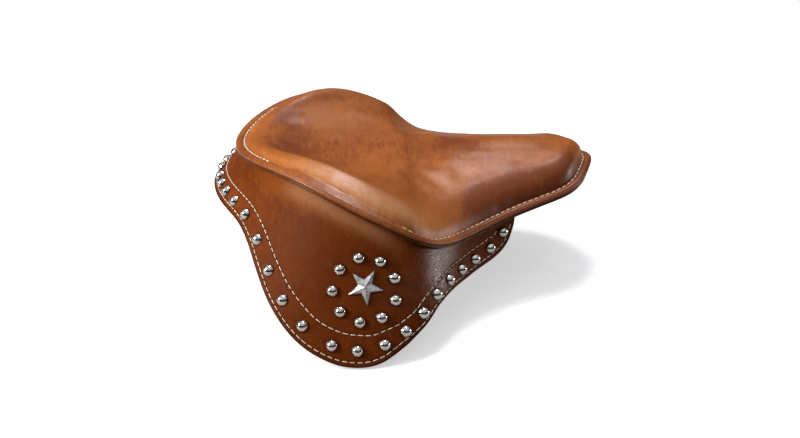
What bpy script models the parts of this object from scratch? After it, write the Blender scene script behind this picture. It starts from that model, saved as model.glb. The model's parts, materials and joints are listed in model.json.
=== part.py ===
"""Western solo saddle for a motorcycle, built as separate pieces.

Frame: metres, +Z up.  The nose points to -Y, the rider's right side is -X.  The origin is the
centre of the nose foot's lower face, on the plane of symmetry.  Each piece is drawn from the
centre of the hinge pin, straight above that, and hangs on one empty there.
"""
import bmesh
import bpy
import math
import numpy as np
from mathutils import Matrix, Vector

MM = 0.001

# ---------------------------------------------------------------- driving dimensions (millimetres)
# Half outline of the seat's rim, from the rear centre to the nose tip: control points of a
# uniform cubic B-spline, mirrored at both ends.
RIM_CONTROL = [
    (0, 303, 60), (66, 283, 67), (122, 239, 73), (167, 192, 62), (185, 112, 25),
    (136, 80, 1), (81, 6, 12), (66, -57, 23), (27, -75, 32), (0, -88, 36),
]
SPANS = len(RIM_CONTROL) - 1
STATIONS_PER_SPAN = 3

LEATHER = 3.0             # seat leather
BINDING = 2.5             # second leather layer sewn under the rim
FLANGE = 11.0             # flat rim outboard of the padding
# Along the rim (distance from the rear centre): height of the padded roll over the rim, and
# how far inboard its crest lies.
ROLL_HEIGHT = [
    (0, 5), (70, 5), (110, 7), (150, 11), (200, 16), (250, 21), (285, 25), (330, 25), (420, 27),
    (480, 26), (551, 22),
]
ROLL_INSET = [
    (0, 30), (110, 28), (200, 29), (250, 30), (285, 35), (330, 44), (420, 38), (480, 31), (551, 26),
]
# Along the centre line (Y): height of the seat's top and of the pan's floor.
TOP_LINE = [
    (-55, 62), (-25, 66), (10, 64), (50, 59), (90, 51), (130, 45), (170, 44), (205, 49), (235, 58), (262, 68),
]
PAN_LINE = [(-60, 31), (-42, 27), (176, 27), (205, 31), (235, 39), (262, 48)]
CENTRE_Y = 110            # the centre line is the crest line drawn in towards this Y
CENTRE_SHRINK = 0.80

PAN_STEEL = 2.0
PAN_SHOULDER = 14.0       # inset of the pan's edge from the rim
PAN_LIP = [(0, 14), (290, 14), (330, 4), (551, 4)]   # depth of its turned-down lip along the rim
GAP = 0.4

SKIRT_LEATHER = 3.2
SKIRT_INSET = 8.0         # the skirt hangs this far inboard of the rim
SKIRT_DROP = 7.0          # and this far below it
SKIRT_START = 1.9         # depth at which its leather begins
SKIRT_FLARE = [(0, 42), (60, 40), (120, 35), (200, 31), (300, 26), (380, 21), (551, 15)]
# Lower edge of the skirt: distance along the rim from the rear centre, and depth below the rim.
SKIRT_EDGE = [
    (0, 50), (45, 52), (85, 58), (110, 70), (137, 93), (165, 117), (190, 134), (211, 139), (228, 135),
    (243, 124), (257, 104), (270, 82), (286, 57), (309, 43), (345, 36), (380, 32),
    (398, 25), (409, 12), (413, 3),
]
EDGE_SPANS = len(SKIRT_EDGE) - 1
EDGE_STEPS = 2            # skirt columns per span of its edge
# Width of the sewn border along the edge's own parameter.
BORDER_WIDTH = [
    (0, 21), (3, 23), (6, 28), (8.8, 28), (9.7, 24), (10.4, 19.5), (11.2, 17), (12, 17), (13, 18.5), (18, 20),
]
LINING_LEATHER = 1.6

SPOT_RADIUS = 6.0
SPOT_HEIGHT = 4.2
SHANK_RADIUS = 1.5
SHANK_HOLE = 2.6          # corner radius of the four-sided hole round a shank
# Distances between neighbouring spots, from the rear centre to the front, and the first one's place.
SPOT_START = 10.0
SPOT_PITCH = [
    22, 22.5, 25, 28.5, 34, 35, 32.5, 33, 32, 24.5, 26, 23, 24, 24, 24.5, 24.5, 22.5, 23.5, 23.5,
]
TAPE_WIDTH = 5.0
TAPE_THICK = 0.8
TAPE_LIFT = -4.0          # the tape's outer face, behind the skirt's outer face
LINING_LIFT = -5.6
LINING_END = 16.5         # the lining stops short of the skirt's front corners
LINING_TOP = 7.0

RING_PLACE = (229, 64)    # centre of the ring of spots on the skirt: along the rim, below the rim
RING_RADIUS = 29.5
RING_SPOTS = 9
RING_START = 6.0          # degrees from straight up, towards the front
STAR_PLACE = (229, 61)
STAR_RADIUS = 17.0
STAR_WAIST = 0.40
STAR_HEIGHT = 5.0
STAR_TILT = 6.5

RIVETS_AT = [40, 105, 170, 235, 285]   # skirt rivets, along the rim from the rear centre

PIN_RADIUS = 5.0
PIN_SIDES = 24
BUSH_RADIUS = 6.6
EAR_INNER = 17.0
EAR_THICK = 4.0
EAR_RADIUS = 9.0
BARREL_RADIUS = 8.8
PAN_UNDERSIDE = 25.0      # flat floor of the pan
PLATE_THICK = 2.0
CLEVIS_THICK = 4.0
CLEVIS_BOLT_Y = 31.0
CLEVIS_BOLT_RADIUS = 4.0
PIVOT_HEIGHT = 15.0       # hinge pin over the foot's lower face
FOOT_THICK = 4.0
FOOT_HALF = (16.0, 24.0)
FOOT_HOLE_Y = 16.5
FOOT_HOLE_RADIUS = 3.2

BAR_Y = 150.0
BAR_HALF = (62.0, 15.0)
BAR_THICK = 5.0
PERCH_PAD = (28.0, 10.0, 1.0)   # half length, half width and height of the raised pad under it
STUD_X = 45.0
STUD_RADIUS = 5.0
STUD_END = -22.0

RIGHT = -1
LEFT = 1
UP = np.array([0.0, 0.0, 1.0])

# ---------------------------------------------------------------- scene helpers


def clear_scene():
    for obj in list(bpy.data.objects):
        bpy.data.objects.remove(obj, do_unlink=True)


def make_collection(name):
    found = bpy.data.collections.new(name)
    bpy.context.scene.collection.children.link(found)
    return found


def make_material(name, colour, roughness, metallic):
    material = bpy.data.materials.new(name)
    material.use_nodes = True
    shader = material.node_tree.nodes["Principled BSDF"]
    shader.inputs["Base Color"].default_value = (*colour, 1.0)
    shader.inputs["Roughness"].default_value = roughness
    shader.inputs["Metallic"].default_value = metallic
    return material


def place_mesh(name, bm, group, material=None):
    """Turns a bmesh into an object of the group, with smooth shading up to 35 degrees."""
    bmesh.ops.recalc_face_normals(bm, faces=bm.faces)
    mesh = bpy.data.meshes.new(name)
    bm.to_mesh(mesh)
    bm.free()
    mesh.shade_smooth()
    mesh.set_sharp_from_angle(angle=math.radians(35))
    obj = bpy.data.objects.new(name, mesh)
    group.objects.link(obj)
    if material:
        mesh.materials.append(material)
    return obj


def place_part(name, bm, colour, roughness, metallic, location=(0, 0, 0)):
    material = make_material(name, colour, roughness, metallic)
    obj = place_mesh(name, bm, PARTS, material)
    obj.location = Vector(location) * MM
    return obj


def place_tool(name, bm, location=(0, 0, 0)):
    obj = place_mesh(name, bm, CUTTERS)
    obj.location = Vector(location) * MM
    obj.hide_render = True
    obj.display_type = "WIRE"
    return obj


def boolean(obj, tool, operation):
    modifier = obj.modifiers.new(tool.name, "BOOLEAN")
    modifier.operation = operation
    modifier.solver = "EXACT"
    modifier.object = tool


def solidify(obj, thickness):
    """Thickens an open sheet inwards, away from its faces' side."""
    modifier = obj.modifiers.new("thickness", "SOLIDIFY")
    modifier.thickness = thickness * MM
    modifier.offset = -1
    modifier.use_even_offset = True


def add_grid(bm, rows, closed=False):
    """Adds a sheet through rows of points (millimetres); closed joins the last column to the first."""
    made = [[bm.verts.new(Vector(point) * MM) for point in row] for row in rows]
    columns = len(made[0])
    last = columns if closed else columns - 1
    for upper, lower in zip(made, made[1:]):
        for k in range(last):
            n = (k + 1) % columns
            bm.faces.new((upper[k], upper[n], lower[n], lower[k]))
    return made


def orient_outwards(bm, direction):
    """Makes an open sheet face along direction(centre of a face) on the whole."""
    bmesh.ops.recalc_face_normals(bm, faces=bm.faces)
    side = sum(face.normal.dot(direction(face.calc_center_median())) for face in bm.faces)
    if side < 0:
        bmesh.ops.reverse_faces(bm, faces=bm.faces)


def place_sheet(name, bm, direction, thickness, colour, roughness, metallic):
    orient_outwards(bm, direction)
    mesh = bpy.data.meshes.new(name)
    bm.to_mesh(mesh)
    bm.free()
    mesh.shade_smooth()
    mesh.set_sharp_from_angle(angle=math.radians(50))
    mesh.materials.append(make_material(name, colour, roughness, metallic))
    obj = bpy.data.objects.new(name, mesh)
    PARTS.objects.link(obj)
    solidify(obj, thickness)
    return obj


def add_turned(bm, profile, sides, matrix=Matrix()):
    """Adds a solid of revolution about local Z; the profile (radius, height) starts and ends on the axis."""
    verts = [bm.verts.new((radius * MM, 0, height * MM)) for radius, height in profile]
    edges = [bm.edges.new(pair) for pair in zip(verts, verts[1:])]
    spun = bmesh.ops.spin(bm, geom=verts + edges, cent=(0, 0, 0), axis=(0, 0, 1), angle=math.tau,
                          steps=sides, use_merge=True)
    made = set(verts)
    stack = list(verts)
    while stack:
        for edge in stack.pop().link_edges:
            for vert in edge.verts:
                if vert not in made:
                    made.add(vert)
                    stack.append(vert)
    merged = bmesh.ops.remove_doubles(bm, verts=list(made), dist=0.00001)
    made = [vert for vert in made if vert.is_valid]
    bmesh.ops.transform(bm, matrix=matrix, verts=made)
    return spun, merged


def add_cylinder(bm, radius, low, high, sides, matrix=Matrix()):
    add_turned(bm, [(0, low), (radius, low), (radius, high), (0, high)], sides, matrix)


def add_box(bm, low, high):
    made = bmesh.ops.create_cube(bm, size=MM)["verts"]
    size = Vector(high) - Vector(low)
    centre = (Vector(high) + Vector(low)) / 2
    bmesh.ops.scale(bm, vec=size, verts=made)
    bmesh.ops.translate(bm, vec=centre * MM, verts=made)


def along_x():
    return Matrix.Rotation(math.radians(90), 4, "Y")


# ---------------------------------------------------------------- the seat's surfaces


def spline(at):
    """Point of the half outline at a parameter from 0 (rear centre) to SPANS (nose tip)."""
    mirror = np.array([-1.0, 1.0, 1.0])
    control = np.array(RIM_CONTROL, float)
    control = np.vstack([control[1] * mirror, control, control[-2] * mirror])
    at = np.clip(at, 0, SPANS)
    first = min(int(at), SPANS - 1)
    t = at - first
    weights = [(1 - t) ** 3, 3 * t ** 3 - 6 * t ** 2 + 4, -3 * t ** 3 + 3 * t ** 2 + 3 * t + 1, t ** 3]
    return sum(w * p for w, p in zip(weights, control[first:first + 4])) / 6


def curve_table():
    """Distance along the outline, seen from above, against its parameter."""
    at = np.linspace(0, SPANS, 1201)
    points = np.array([spline(a)[:2] for a in at])
    steps = np.linalg.norm(np.diff(points, axis=0), axis=1)
    return at, np.concatenate([[0], np.cumsum(steps)])


RIM_AT, RIM_DISTANCE = curve_table()


def follow(x, points):
    """Smooth curve through (x, value) points."""
    xs, ys = np.array(points, float).T
    slopes = np.gradient(ys, xs)
    x = min(max(x, xs[0]), xs[-1])
    k = min(int(np.searchsorted(xs, x, side="right")) - 1, len(xs) - 2)
    width = xs[k + 1] - xs[k]
    t = (x - xs[k]) / width
    start = (2 * t ** 3 - 3 * t ** 2 + 1) * ys[k] + (t ** 3 - 2 * t ** 2 + t) * width * slopes[k]
    end = (3 * t ** 2 - 2 * t ** 3) * ys[k + 1] + (t ** 3 - t ** 2) * width * slopes[k + 1]
    return start + end


def rim_frame(at, side):
    """Rim point, level outward direction and distance from the rear centre."""
    point = spline(at)
    step = 0.002
    tangent = spline(min(at + step, SPANS)) - spline(max(at - step, 0))
    if at <= step or at >= SPANS - step:
        tangent = np.array([1.0 if at <= step else -1.0, 0, 0])
    outward = np.array([-tangent[1], tangent[0], 0]) / math.hypot(tangent[0], tangent[1])
    flip = np.array([side, 1, 1])
    return point * flip, outward * flip, float(np.interp(at, RIM_AT, RIM_DISTANCE))


def rim_stations():
    """Every station of the closed outline: right side from rear to nose, then the left side back."""
    count = SPANS * STATIONS_PER_SPAN
    right = [rim_frame(k / STATIONS_PER_SPAN, RIGHT) for k in range(count + 1)]
    left = [rim_frame(k / STATIONS_PER_SPAN, LEFT) for k in range(count - 1, 0, -1)]
    return right + left


def centre_point(crest, line, lower):
    """Point of the centre line that a crest point is drawn in to."""
    y = CENTRE_Y + CENTRE_SHRINK * (crest[1] - CENTRE_Y)
    if line is TOP_LINE:
        return np.array([0, y, follow(y, line) - lower])
    return np.array([0, y, np.interp(y, *np.array(line, float).T) - lower])


def roll_section(station, offset):
    """Padded section from the flange over the roll's crest to the centre line, offset inwards."""
    point, outward, distance = station
    inset = follow(distance, ROLL_INSET) + 0.5 * offset
    height = follow(distance, ROLL_HEIGHT)
    start = FLANGE + offset
    section = []
    for angle in (30, 60, 90):
        across = start + (inset - start) * (1 - math.cos(math.radians(angle)))
        up = height * math.sin(math.radians(angle)) - 1.8 * offset
        section.append(point - outward * across + UP * up)
    crest = section[-1]
    centre = centre_point(crest, TOP_LINE, 1.8 * offset)
    for share in (0.3, 0.65, 1.0):
        blend = share * share * (3 - 2 * share)
        between = crest + (centre - crest) * share
        between[2] = crest[2] + (centre[2] - crest[2]) * blend
        section.append(between)
    return section


def pan_floor(station, lift):
    """Pan section from its shoulder to the flat floor on the centre line."""
    point, outward, _ = station
    shoulder = point - outward * PAN_SHOULDER - UP * 4.0
    edge = point - outward * (PAN_SHOULDER + 6) - UP * 4.0
    centre = centre_point(edge, PAN_LINE, 0)
    section = [shoulder, edge]
    for share in (0.22, 0.45, 1.0):
        t = min(share / 0.45, 1.0)
        between = edge + (centre - edge) * share
        between[2] = edge[2] + (centre[2] - edge[2]) * t * t * (3 - 2 * t)
        section.append(between)
    return [p + UP * lift for p in section]


def sections_to_rows(sections):
    return [list(row) for row in zip(*sections)]


def weld(bm):
    bmesh.ops.remove_doubles(bm, verts=bm.verts, dist=0.00002)


# ---------------------------------------------------------------- the skirt's surface


def parameter_at(distance):
    return float(np.interp(distance, RIM_DISTANCE, RIM_AT))


def skirt_point(distance, depth, lift=0.0):
    """Point of the skirt.  Negative distances lie on the right side; lift is along its outer face."""
    side = LEFT if distance > 0 else RIGHT
    point, outward, _ = rim_frame(parameter_at(abs(distance)), side)
    flare = math.radians(follow(abs(distance), SKIRT_FLARE))
    down = outward * math.sin(flare) - UP * math.cos(flare)
    face = outward * math.cos(flare) + UP * math.sin(flare)
    return point - outward * SKIRT_INSET - UP * SKIRT_DROP + down * depth + face * lift


def skirt_frame(distance, depth):
    """Outer normal, direction along the rim (to the front) and direction up the skirt."""
    step = 0.5
    side = 1 if distance > 0 else -1
    forward = skirt_point(distance + side * step, depth) - skirt_point(distance - side * step, depth)
    up = skirt_point(distance, depth - step) - skirt_point(distance, depth + step)
    forward /= np.linalg.norm(forward)
    normal = np.cross(forward, up) * (-side)
    normal /= np.linalg.norm(normal)
    up = np.cross(normal, forward)
    up *= np.sign(up[2])
    return normal, forward, up


def skirt_edge(at):
    """(distance, depth) of the lower edge at a parameter from 0 (rear centre) to EDGE_SPANS."""
    points = np.array(SKIRT_EDGE, float)
    points = np.vstack([points[1] * (-1, 1), points, 2 * points[-1] - points[-2]])
    first = min(int(at), EDGE_SPANS - 1)
    t = at - first
    a, b, c, d = points[first:first + 4]
    square, cube = 2 * a - 5 * b + 4 * c - d, 3 * b - a - 3 * c + d
    return 0.5 * (2 * b + (c - a) * t + square * t ** 2 + cube * t ** 3)


def walk_on_skirt(distance, depth, direction, length, steps=4):
    """Moves over the skirt from one place along a fixed direction in space."""
    for _ in range(steps):
        step = 0.25
        here = skirt_point(distance, depth)
        by_distance = (skirt_point(distance + step, depth) - here) / step
        by_depth = (skirt_point(distance, depth + step) - here) / step
        normal = np.cross(by_distance, by_depth)
        normal /= np.linalg.norm(normal)
        along = direction - normal * direction.dot(normal)
        along *= length / steps / np.linalg.norm(along)
        move, *_ = np.linalg.lstsq(np.array([by_distance, by_depth]).T, along, rcond=None)
        distance += move[0]
        depth += move[1]
    return distance, depth


def from_edge(at, side, inset):
    """Place on the skirt at an inset from its lower edge, square to the edge."""
    step = 0.02
    here = skirt_edge(at)
    ahead = skirt_edge(min(at + step, EDGE_SPANS))
    behind = skirt_edge(at - step) if at > step else skirt_edge(0) * (1, 1)
    along = skirt_point(side * ahead[0], ahead[1]) - skirt_point(side * behind[0], behind[1])
    if at <= step:
        along = np.array([1.0, 0, 0])
    place = side * max(here[0], 0.01)
    normal, _, up = skirt_frame(place, here[1])
    inward = np.cross(normal, along)
    inward *= np.sign(inward.dot(up)) / np.linalg.norm(inward)
    if at > EDGE_SPANS - 3:
        inward = blend_to_back(inward, place, here[1], at)
    return walk_on_skirt(place, here[1], inward, inset)


def blend_to_back(inward, place, depth, at):
    """At the front end the border turns away from the skirt's front edge."""
    _, forward, _ = skirt_frame(place, depth)
    share = (at - (EDGE_SPANS - 3)) / 3
    turned = inward * (1 - share) - forward * share
    return turned / np.linalg.norm(turned)


def edge_samples(steps):
    """Parameters along the lower edge, from the right front end over the rear to the left one."""
    half = [(k / steps) for k in range(EDGE_SPANS * steps + 1)]
    return [(at, RIGHT) for at in reversed(half)] + [(at, LEFT) for at in half[1:]]


def spot_places(side):
    """Places of the border spots, evenly stepped along the middle of the border."""
    fine = np.linspace(0, EDGE_SPANS, 400)
    places = [from_edge(at, side, 0.52 * follow(at, BORDER_WIDTH)) for at in fine]
    points = np.array([skirt_point(*place) for place in places])
    travelled = np.concatenate([[0], np.cumsum(np.linalg.norm(np.diff(points, axis=0), axis=1))])
    wanted = np.cumsum([SPOT_START] + SPOT_PITCH)
    wanted = wanted[wanted < travelled[-1] - 6]
    return [places[int(np.searchsorted(travelled, w))] for w in wanted]


def place_matrix(place):
    """Matrix whose Z leaves the skirt's face and whose Y runs up the skirt."""
    normal, _, _ = skirt_frame(*place)
    _, _, up = skirt_frame(*place)
    up = up - normal * up.dot(normal)
    up /= np.linalg.norm(up)
    across = np.cross(up, normal)
    rotation = Matrix(np.array([across, up, normal]).T.tolist()).to_4x4()
    return Matrix.Translation(Vector(skirt_point(*place)) * MM) @ rotation


def ring_places(side):
    """Places of the ring's spots and the angle of each."""
    centre = (side * RING_PLACE[0], RING_PLACE[1])
    _, forward, up = skirt_frame(*centre)
    places = []
    for k in range(RING_SPOTS):
        angle = math.radians(RING_START + 360 / RING_SPOTS * k)
        direction = up * math.cos(angle) + forward * math.sin(angle)
        places.append(walk_on_skirt(*centre, direction, RING_RADIUS))
    return places


def border_strip(low_inset, beyond, lift, columns):
    """Sheet along the lower edge, from a small inset to a little beyond the border's width."""
    rows = []
    for k in range(columns):
        row = []
        for at, side in edge_samples(EDGE_STEPS):
            if at > LINING_END:
                continue
            high_inset = follow(at, BORDER_WIDTH) + beyond
            inset = low_inset + (high_inset - low_inset) * k / (columns - 1)
            distance, depth = from_edge(at, side, inset)
            row.append(skirt_point(distance, max(depth, LINING_TOP), lift))
        rows.append(row)
    return rows


# ---------------------------------------------------------------- padding, leather and pan

TAN = (0.42, 0.16, 0.05)
TAN_DARK = (0.25, 0.085, 0.03)
STEEL = (0.30, 0.30, 0.31)
ZINC = (0.62, 0.62, 0.60)
NICKEL = (0.78, 0.77, 0.74)
PEWTER = (0.50, 0.49, 0.46)


def skywards(_):
    return Vector((0, 0, 1))


def outwards(centre):
    away = Vector((centre.x, centre.y - CENTRE_Y * MM, 0))
    return away.normalized() + Vector((0, 0, 0.3))


def build_cover():
    bm = bmesh.new()
    sections = []
    for station in STATIONS:
        point, outward, _ = station
        flat = [point, point - outward * 5.5, point - outward * FLANGE]
        sections.append(flat + roll_section(station, 0))
    add_grid(bm, sections_to_rows(sections), closed=True)
    weld(bm)
    place_sheet("seat_cover", bm, skywards, LEATHER, TAN, 0.45, 0.0)


def build_binding():
    bm = bmesh.new()
    level = UP * (LEATHER + 1.6)
    outer = [p - n * 0.5 - level for p, n, _ in STATIONS]
    inner = [p - n * (FLANGE - 0.5) - level for p, n, _ in STATIONS]
    add_grid(bm, [outer, inner], closed=True)
    place_sheet("rim_binding", bm, skywards, BINDING, TAN_DARK, 0.55, 0.0)


def build_foam():
    """Padding between the pan and the cover: the two surfaces joined by a wall round the edge."""
    bm = bmesh.new()
    sections = []
    for station in STATIONS:
        top = roll_section(station, 4.0)
        bottom = pan_floor(station, 3.5)
        bottom[0] = bottom[0] - station[1] * 2.5
        sections.append(bottom[::-1] + top)
    add_grid(bm, sections_to_rows(sections), closed=True)
    weld(bm)
    foam = place_part("foam_pad", bm, (0.75, 0.70, 0.55), 0.9, 0.0)
    pockets = bmesh.new()
    for x, y, radius in ((0, CLEVIS_BOLT_Y, 9.5), (0, -CLEVIS_BOLT_Y, 9.5), (STUD_X, BAR_Y, 11.5),
                         (-STUD_X, BAR_Y, 11.5)):
        add_cylinder(pockets, radius, 20, 31, 12, Matrix.Translation(Vector((x, y, 0)) * MM))
    boolean(foam, place_tool("foam_pockets", pockets), "DIFFERENCE")


def build_pan():
    bm = bmesh.new()
    sections = []
    lift = -SKIRT_LEATHER - GAP - 0.2
    for station in STATIONS:
        point, _, distance = station
        place = distance if point[0] > 0 else -distance
        depth = np.interp(distance, *np.array(PAN_LIP, float).T)
        lip = [skirt_point(place, depth, lift), skirt_point(place, 0.5, lift)]
        sections.append(lip + pan_floor(station, 0))
    add_grid(bm, sections_to_rows(sections), closed=True)
    weld(bm)
    pan = place_sheet("seat_pan", bm, skywards, PAN_STEEL, STEEL, 0.5, 0.6)
    holes = bmesh.new()
    add_bolt_holes(holes)
    for side in (RIGHT, LEFT):
        for distance in RIVETS_AT:
            add_rivet(holes, side * distance, SHANK_RADIUS + 0.3, -9.5, -2.6)
    boolean(pan, place_tool("pan_holes", holes), "DIFFERENCE")


def add_bolt_holes(bm):
    for y in (CLEVIS_BOLT_Y, -CLEVIS_BOLT_Y):
        add_cylinder(bm, CLEVIS_BOLT_RADIUS + 0.4, 10, 31, 12, Matrix.Translation(Vector((0, y, 0)) * MM))
    for x in (STUD_X, -STUD_X):
        add_cylinder(bm, STUD_RADIUS + 0.4, 10, 31, 12, Matrix.Translation(Vector((x, BAR_Y, 0)) * MM))


# ---------------------------------------------------------------- skirt and its metal


def add_rivet(bm, distance, radius, low, high):
    place = (distance, 7.0)
    add_cylinder(bm, radius, low, high, 6, place_matrix(place))


def build_skirt():
    bm = bmesh.new()
    columns = [
        (side * max(skirt_edge(at)[0], 0.0), skirt_edge(at)[1]) for at, side in edge_samples(EDGE_STEPS)
    ]
    rows = []
    for share in (0, 0.2, 0.45, 0.72, 1.0):
        rows.append([
            skirt_point(distance, SKIRT_START + (depth - SKIRT_START) * share) for distance, depth in columns
        ])
    add_grid(bm, rows)
    skirt = place_sheet("skirt_panel", bm, outwards, SKIRT_LEATHER, TAN, 0.45, 0.0)
    holes = bmesh.new()
    for side in (RIGHT, LEFT):
        for place in spot_places(side) + ring_places(side):
            add_cylinder(holes, SHANK_HOLE, -7, 3, 4, place_matrix(place))
        centre = (side * STAR_PLACE[0], STAR_PLACE[1])
        add_cylinder(holes, 2.4, -7, 3, 8, place_matrix(centre))
        for distance in RIVETS_AT:
            add_rivet(holes, side * distance, SHANK_RADIUS + 0.3, -9.5, -1.2)
    boolean(skirt, place_tool("skirt_holes", holes), "DIFFERENCE")


def build_lining():
    """Backing strip of the sewn border, behind the spots' tape."""
    bm = bmesh.new()
    rows = border_strip(1.5, 2.5, LINING_LIFT, 3)
    add_grid(bm, rows)
    place_sheet("skirt_lining", bm, outwards, LINING_LEATHER, TAN_DARK, 0.7, 0.0)


def add_spot(bm, place, sides):
    """Domed spot with its shank, which ends inside the tape behind the leather."""
    base = 0.6
    tape = TAPE_LIFT - TAPE_THICK / 2
    profile = [(0, tape), (SHANK_RADIUS, tape), (SHANK_RADIUS, base), (SPOT_RADIUS, base),
               (SPOT_RADIUS * 0.72, base + SPOT_HEIGHT * 0.72), (0, base + SPOT_HEIGHT)]
    add_turned(bm, profile, sides, place_matrix(place))


def build_spots(name, places, closed):
    """A row of spots held together behind the leather by a thin tape."""
    tape = bmesh.new()
    path = refine(places, closed)
    count = len(path)
    rows = [[], []]
    for k, (distance, depth) in enumerate(path):
        before = path[(k - 1) % count] if closed else path[max(k - 1, 0)]
        after = path[(k + 1) % count] if closed else path[min(k + 1, count - 1)]
        along = skirt_point(*after) - skirt_point(*before)
        normal, _, _ = skirt_frame(distance, depth)
        across = np.cross(normal, along)
        across /= np.linalg.norm(across)
        for row, half in zip(rows, (-TAPE_WIDTH / 2, TAPE_WIDTH / 2)):
            row.append(skirt_point(*walk_on_skirt(distance, depth, across, half, 1), TAPE_LIFT))
    add_grid(tape, rows, closed)
    obj = place_sheet(name, tape, outwards, TAPE_THICK, NICKEL, 0.15, 1.0)
    domes = bmesh.new()
    for place in places:
        add_spot(domes, place, 6)
    boolean(obj, place_tool(name + "_domes", domes), "UNION")


def refine(places, closed):
    """Adds a middle point between neighbouring places and runs a little past open ends."""
    places = [np.array(place, float) for place in places]
    if closed:
        ring = []
        for k, place in enumerate(places):
            ring += [place, (place + places[(k + 1) % len(places)]) / 2]
        return ring
    path = [places[0] - 0.12 * (places[1] - places[0])]
    for first, second in zip(places, places[1:]):
        path += [first, (first + second) / 2]
    return path + [places[-1], places[-1] + 0.12 * (places[-1] - places[-2])]


def build_star(name, side):
    """Five-pointed star with a raised ridge to each point, on a threaded post."""
    bm = bmesh.new()
    made = bmesh.ops.create_cone(bm, cap_ends=True, segments=10, radius1=STAR_RADIUS * MM, radius2=0,
                                 depth=(STAR_HEIGHT - 1) * MM)["verts"]
    bmesh.ops.remove_doubles(bm, verts=made, dist=0.00001)
    for vert in bm.verts:
        if vert.co.z > 0:
            continue
        angle = math.atan2(vert.co.y, vert.co.x)
        step = round((angle - math.radians(90)) / math.radians(36))
        if step % 2:
            vert.co.x *= STAR_WAIST
            vert.co.y *= STAR_WAIST
    base = [face for face in bm.faces if face.normal.z < -0.9 or len(face.verts) == 10]
    pulled = bmesh.ops.extrude_face_region(bm, geom=base)
    moved = [item for item in pulled["geom"] if isinstance(item, bmesh.types.BMVert)]
    bmesh.ops.delete(bm, geom=base, context="FACES_ONLY")
    bmesh.ops.translate(bm, vec=(0, 0, -0.8 * MM), verts=moved)
    lift = (STAR_HEIGHT - 1) / 2 + 1.2
    centre = (side * STAR_PLACE[0], STAR_PLACE[1])
    tilt = Matrix.Rotation(math.radians(-side * -STAR_TILT), 4, "Z")
    move = place_matrix(centre) @ tilt @ Matrix.Translation((0, 0, lift * MM))
    bmesh.ops.transform(bm, matrix=move, verts=bm.verts)
    obj = place_part(name, bm, PEWTER, 0.35, 1.0)
    post = bmesh.new()
    add_cylinder(post, 2.0, -8.5, 2.0, 8, place_matrix(centre))
    boolean(obj, place_tool(name + "_post", post), "UNION")


def build_star_nut(name, side):
    centre = (side * STAR_PLACE[0], STAR_PLACE[1])
    bm = bmesh.new()
    add_cylinder(bm, 5.5, -7.2, -SKIRT_LEATHER - GAP, 10, place_matrix(centre))
    nut = place_part(name, bm, ZINC, 0.35, 1.0)
    hole = bmesh.new()
    add_cylinder(hole, 2.3, -12, 3, 8, place_matrix(centre))
    boolean(nut, place_tool(name + "_hole", hole), "DIFFERENCE")


def build_rivet_strip(name, side):
    """Flat strip inside the pan's lip whose rivets pass the lip and end inside the skirt leather."""
    bm = bmesh.new()
    lift = -SKIRT_LEATHER - 2 * GAP - PAN_STEEL - 0.6
    distances = [station[2] for station in STATIONS if RIVETS_AT[0] - 20 < station[2] < RIVETS_AT[-1] + 8]
    distances = sorted(set(round(distance, 3) for distance in distances))
    rows = [[skirt_point(side * d, depth, lift) for d in distances] for depth in (4, 10)]
    add_grid(bm, rows)
    strip = place_sheet(name, bm, outwards, 1.2, ZINC, 0.4, 1.0)
    rivets = bmesh.new()
    for distance in RIVETS_AT:
        add_rivet(rivets, side * distance, SHANK_RADIUS, lift - 0.6, -1.6)
    boolean(strip, place_tool(name + "_rivets", rivets), "UNION")


# ---------------------------------------------------------------- nose hinge


def build_nose_plate():
    bm = bmesh.new()
    top = PAN_UNDERSIDE - GAP
    add_box(bm, (-18, -37.5, top - PLATE_THICK), (18, 39, top))
    plate = place_part("nose_plate", bm, STEEL, 0.5, 0.8)
    holes = bmesh.new()
    add_bolt_holes(holes)
    boolean(plate, place_tool("plate_holes", holes), "DIFFERENCE")


def build_clevis():
    top = PAN_UNDERSIDE - PLATE_THICK - 2 * GAP
    bm = bmesh.new()
    add_box(bm, (-EAR_INNER - EAR_THICK, -40, top - CLEVIS_THICK), (EAR_INNER + EAR_THICK, 40, top))
    clevis = place_part("nose_clevis", bm, (0.06, 0.06, 0.065), 0.4, 0.3)
    ears = bmesh.new()
    for side in (RIGHT, LEFT):
        low, high = sorted((side * EAR_INNER, side * (EAR_INNER + EAR_THICK)))
        add_box(ears, (low, -EAR_RADIUS, 0), (high, EAR_RADIUS, top - CLEVIS_THICK / 2))
    boolean(clevis, place_tool("clevis_ears", ears), "UNION")
    rounds = bmesh.new()
    for side in (RIGHT, LEFT):
        low, high = sorted((side * EAR_INNER, side * (EAR_INNER + EAR_THICK)))
        add_cylinder(rounds, EAR_RADIUS, low, high, PIN_SIDES, along_x())
    boolean(clevis, place_tool("clevis_rounds", rounds), "UNION")
    holes = bmesh.new()
    add_cylinder(holes, PIN_RADIUS + 0.06, -30, 30, PIN_SIDES, along_x())
    add_bolt_holes(holes)
    boolean(clevis, place_tool("clevis_holes", holes), "DIFFERENCE")


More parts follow.
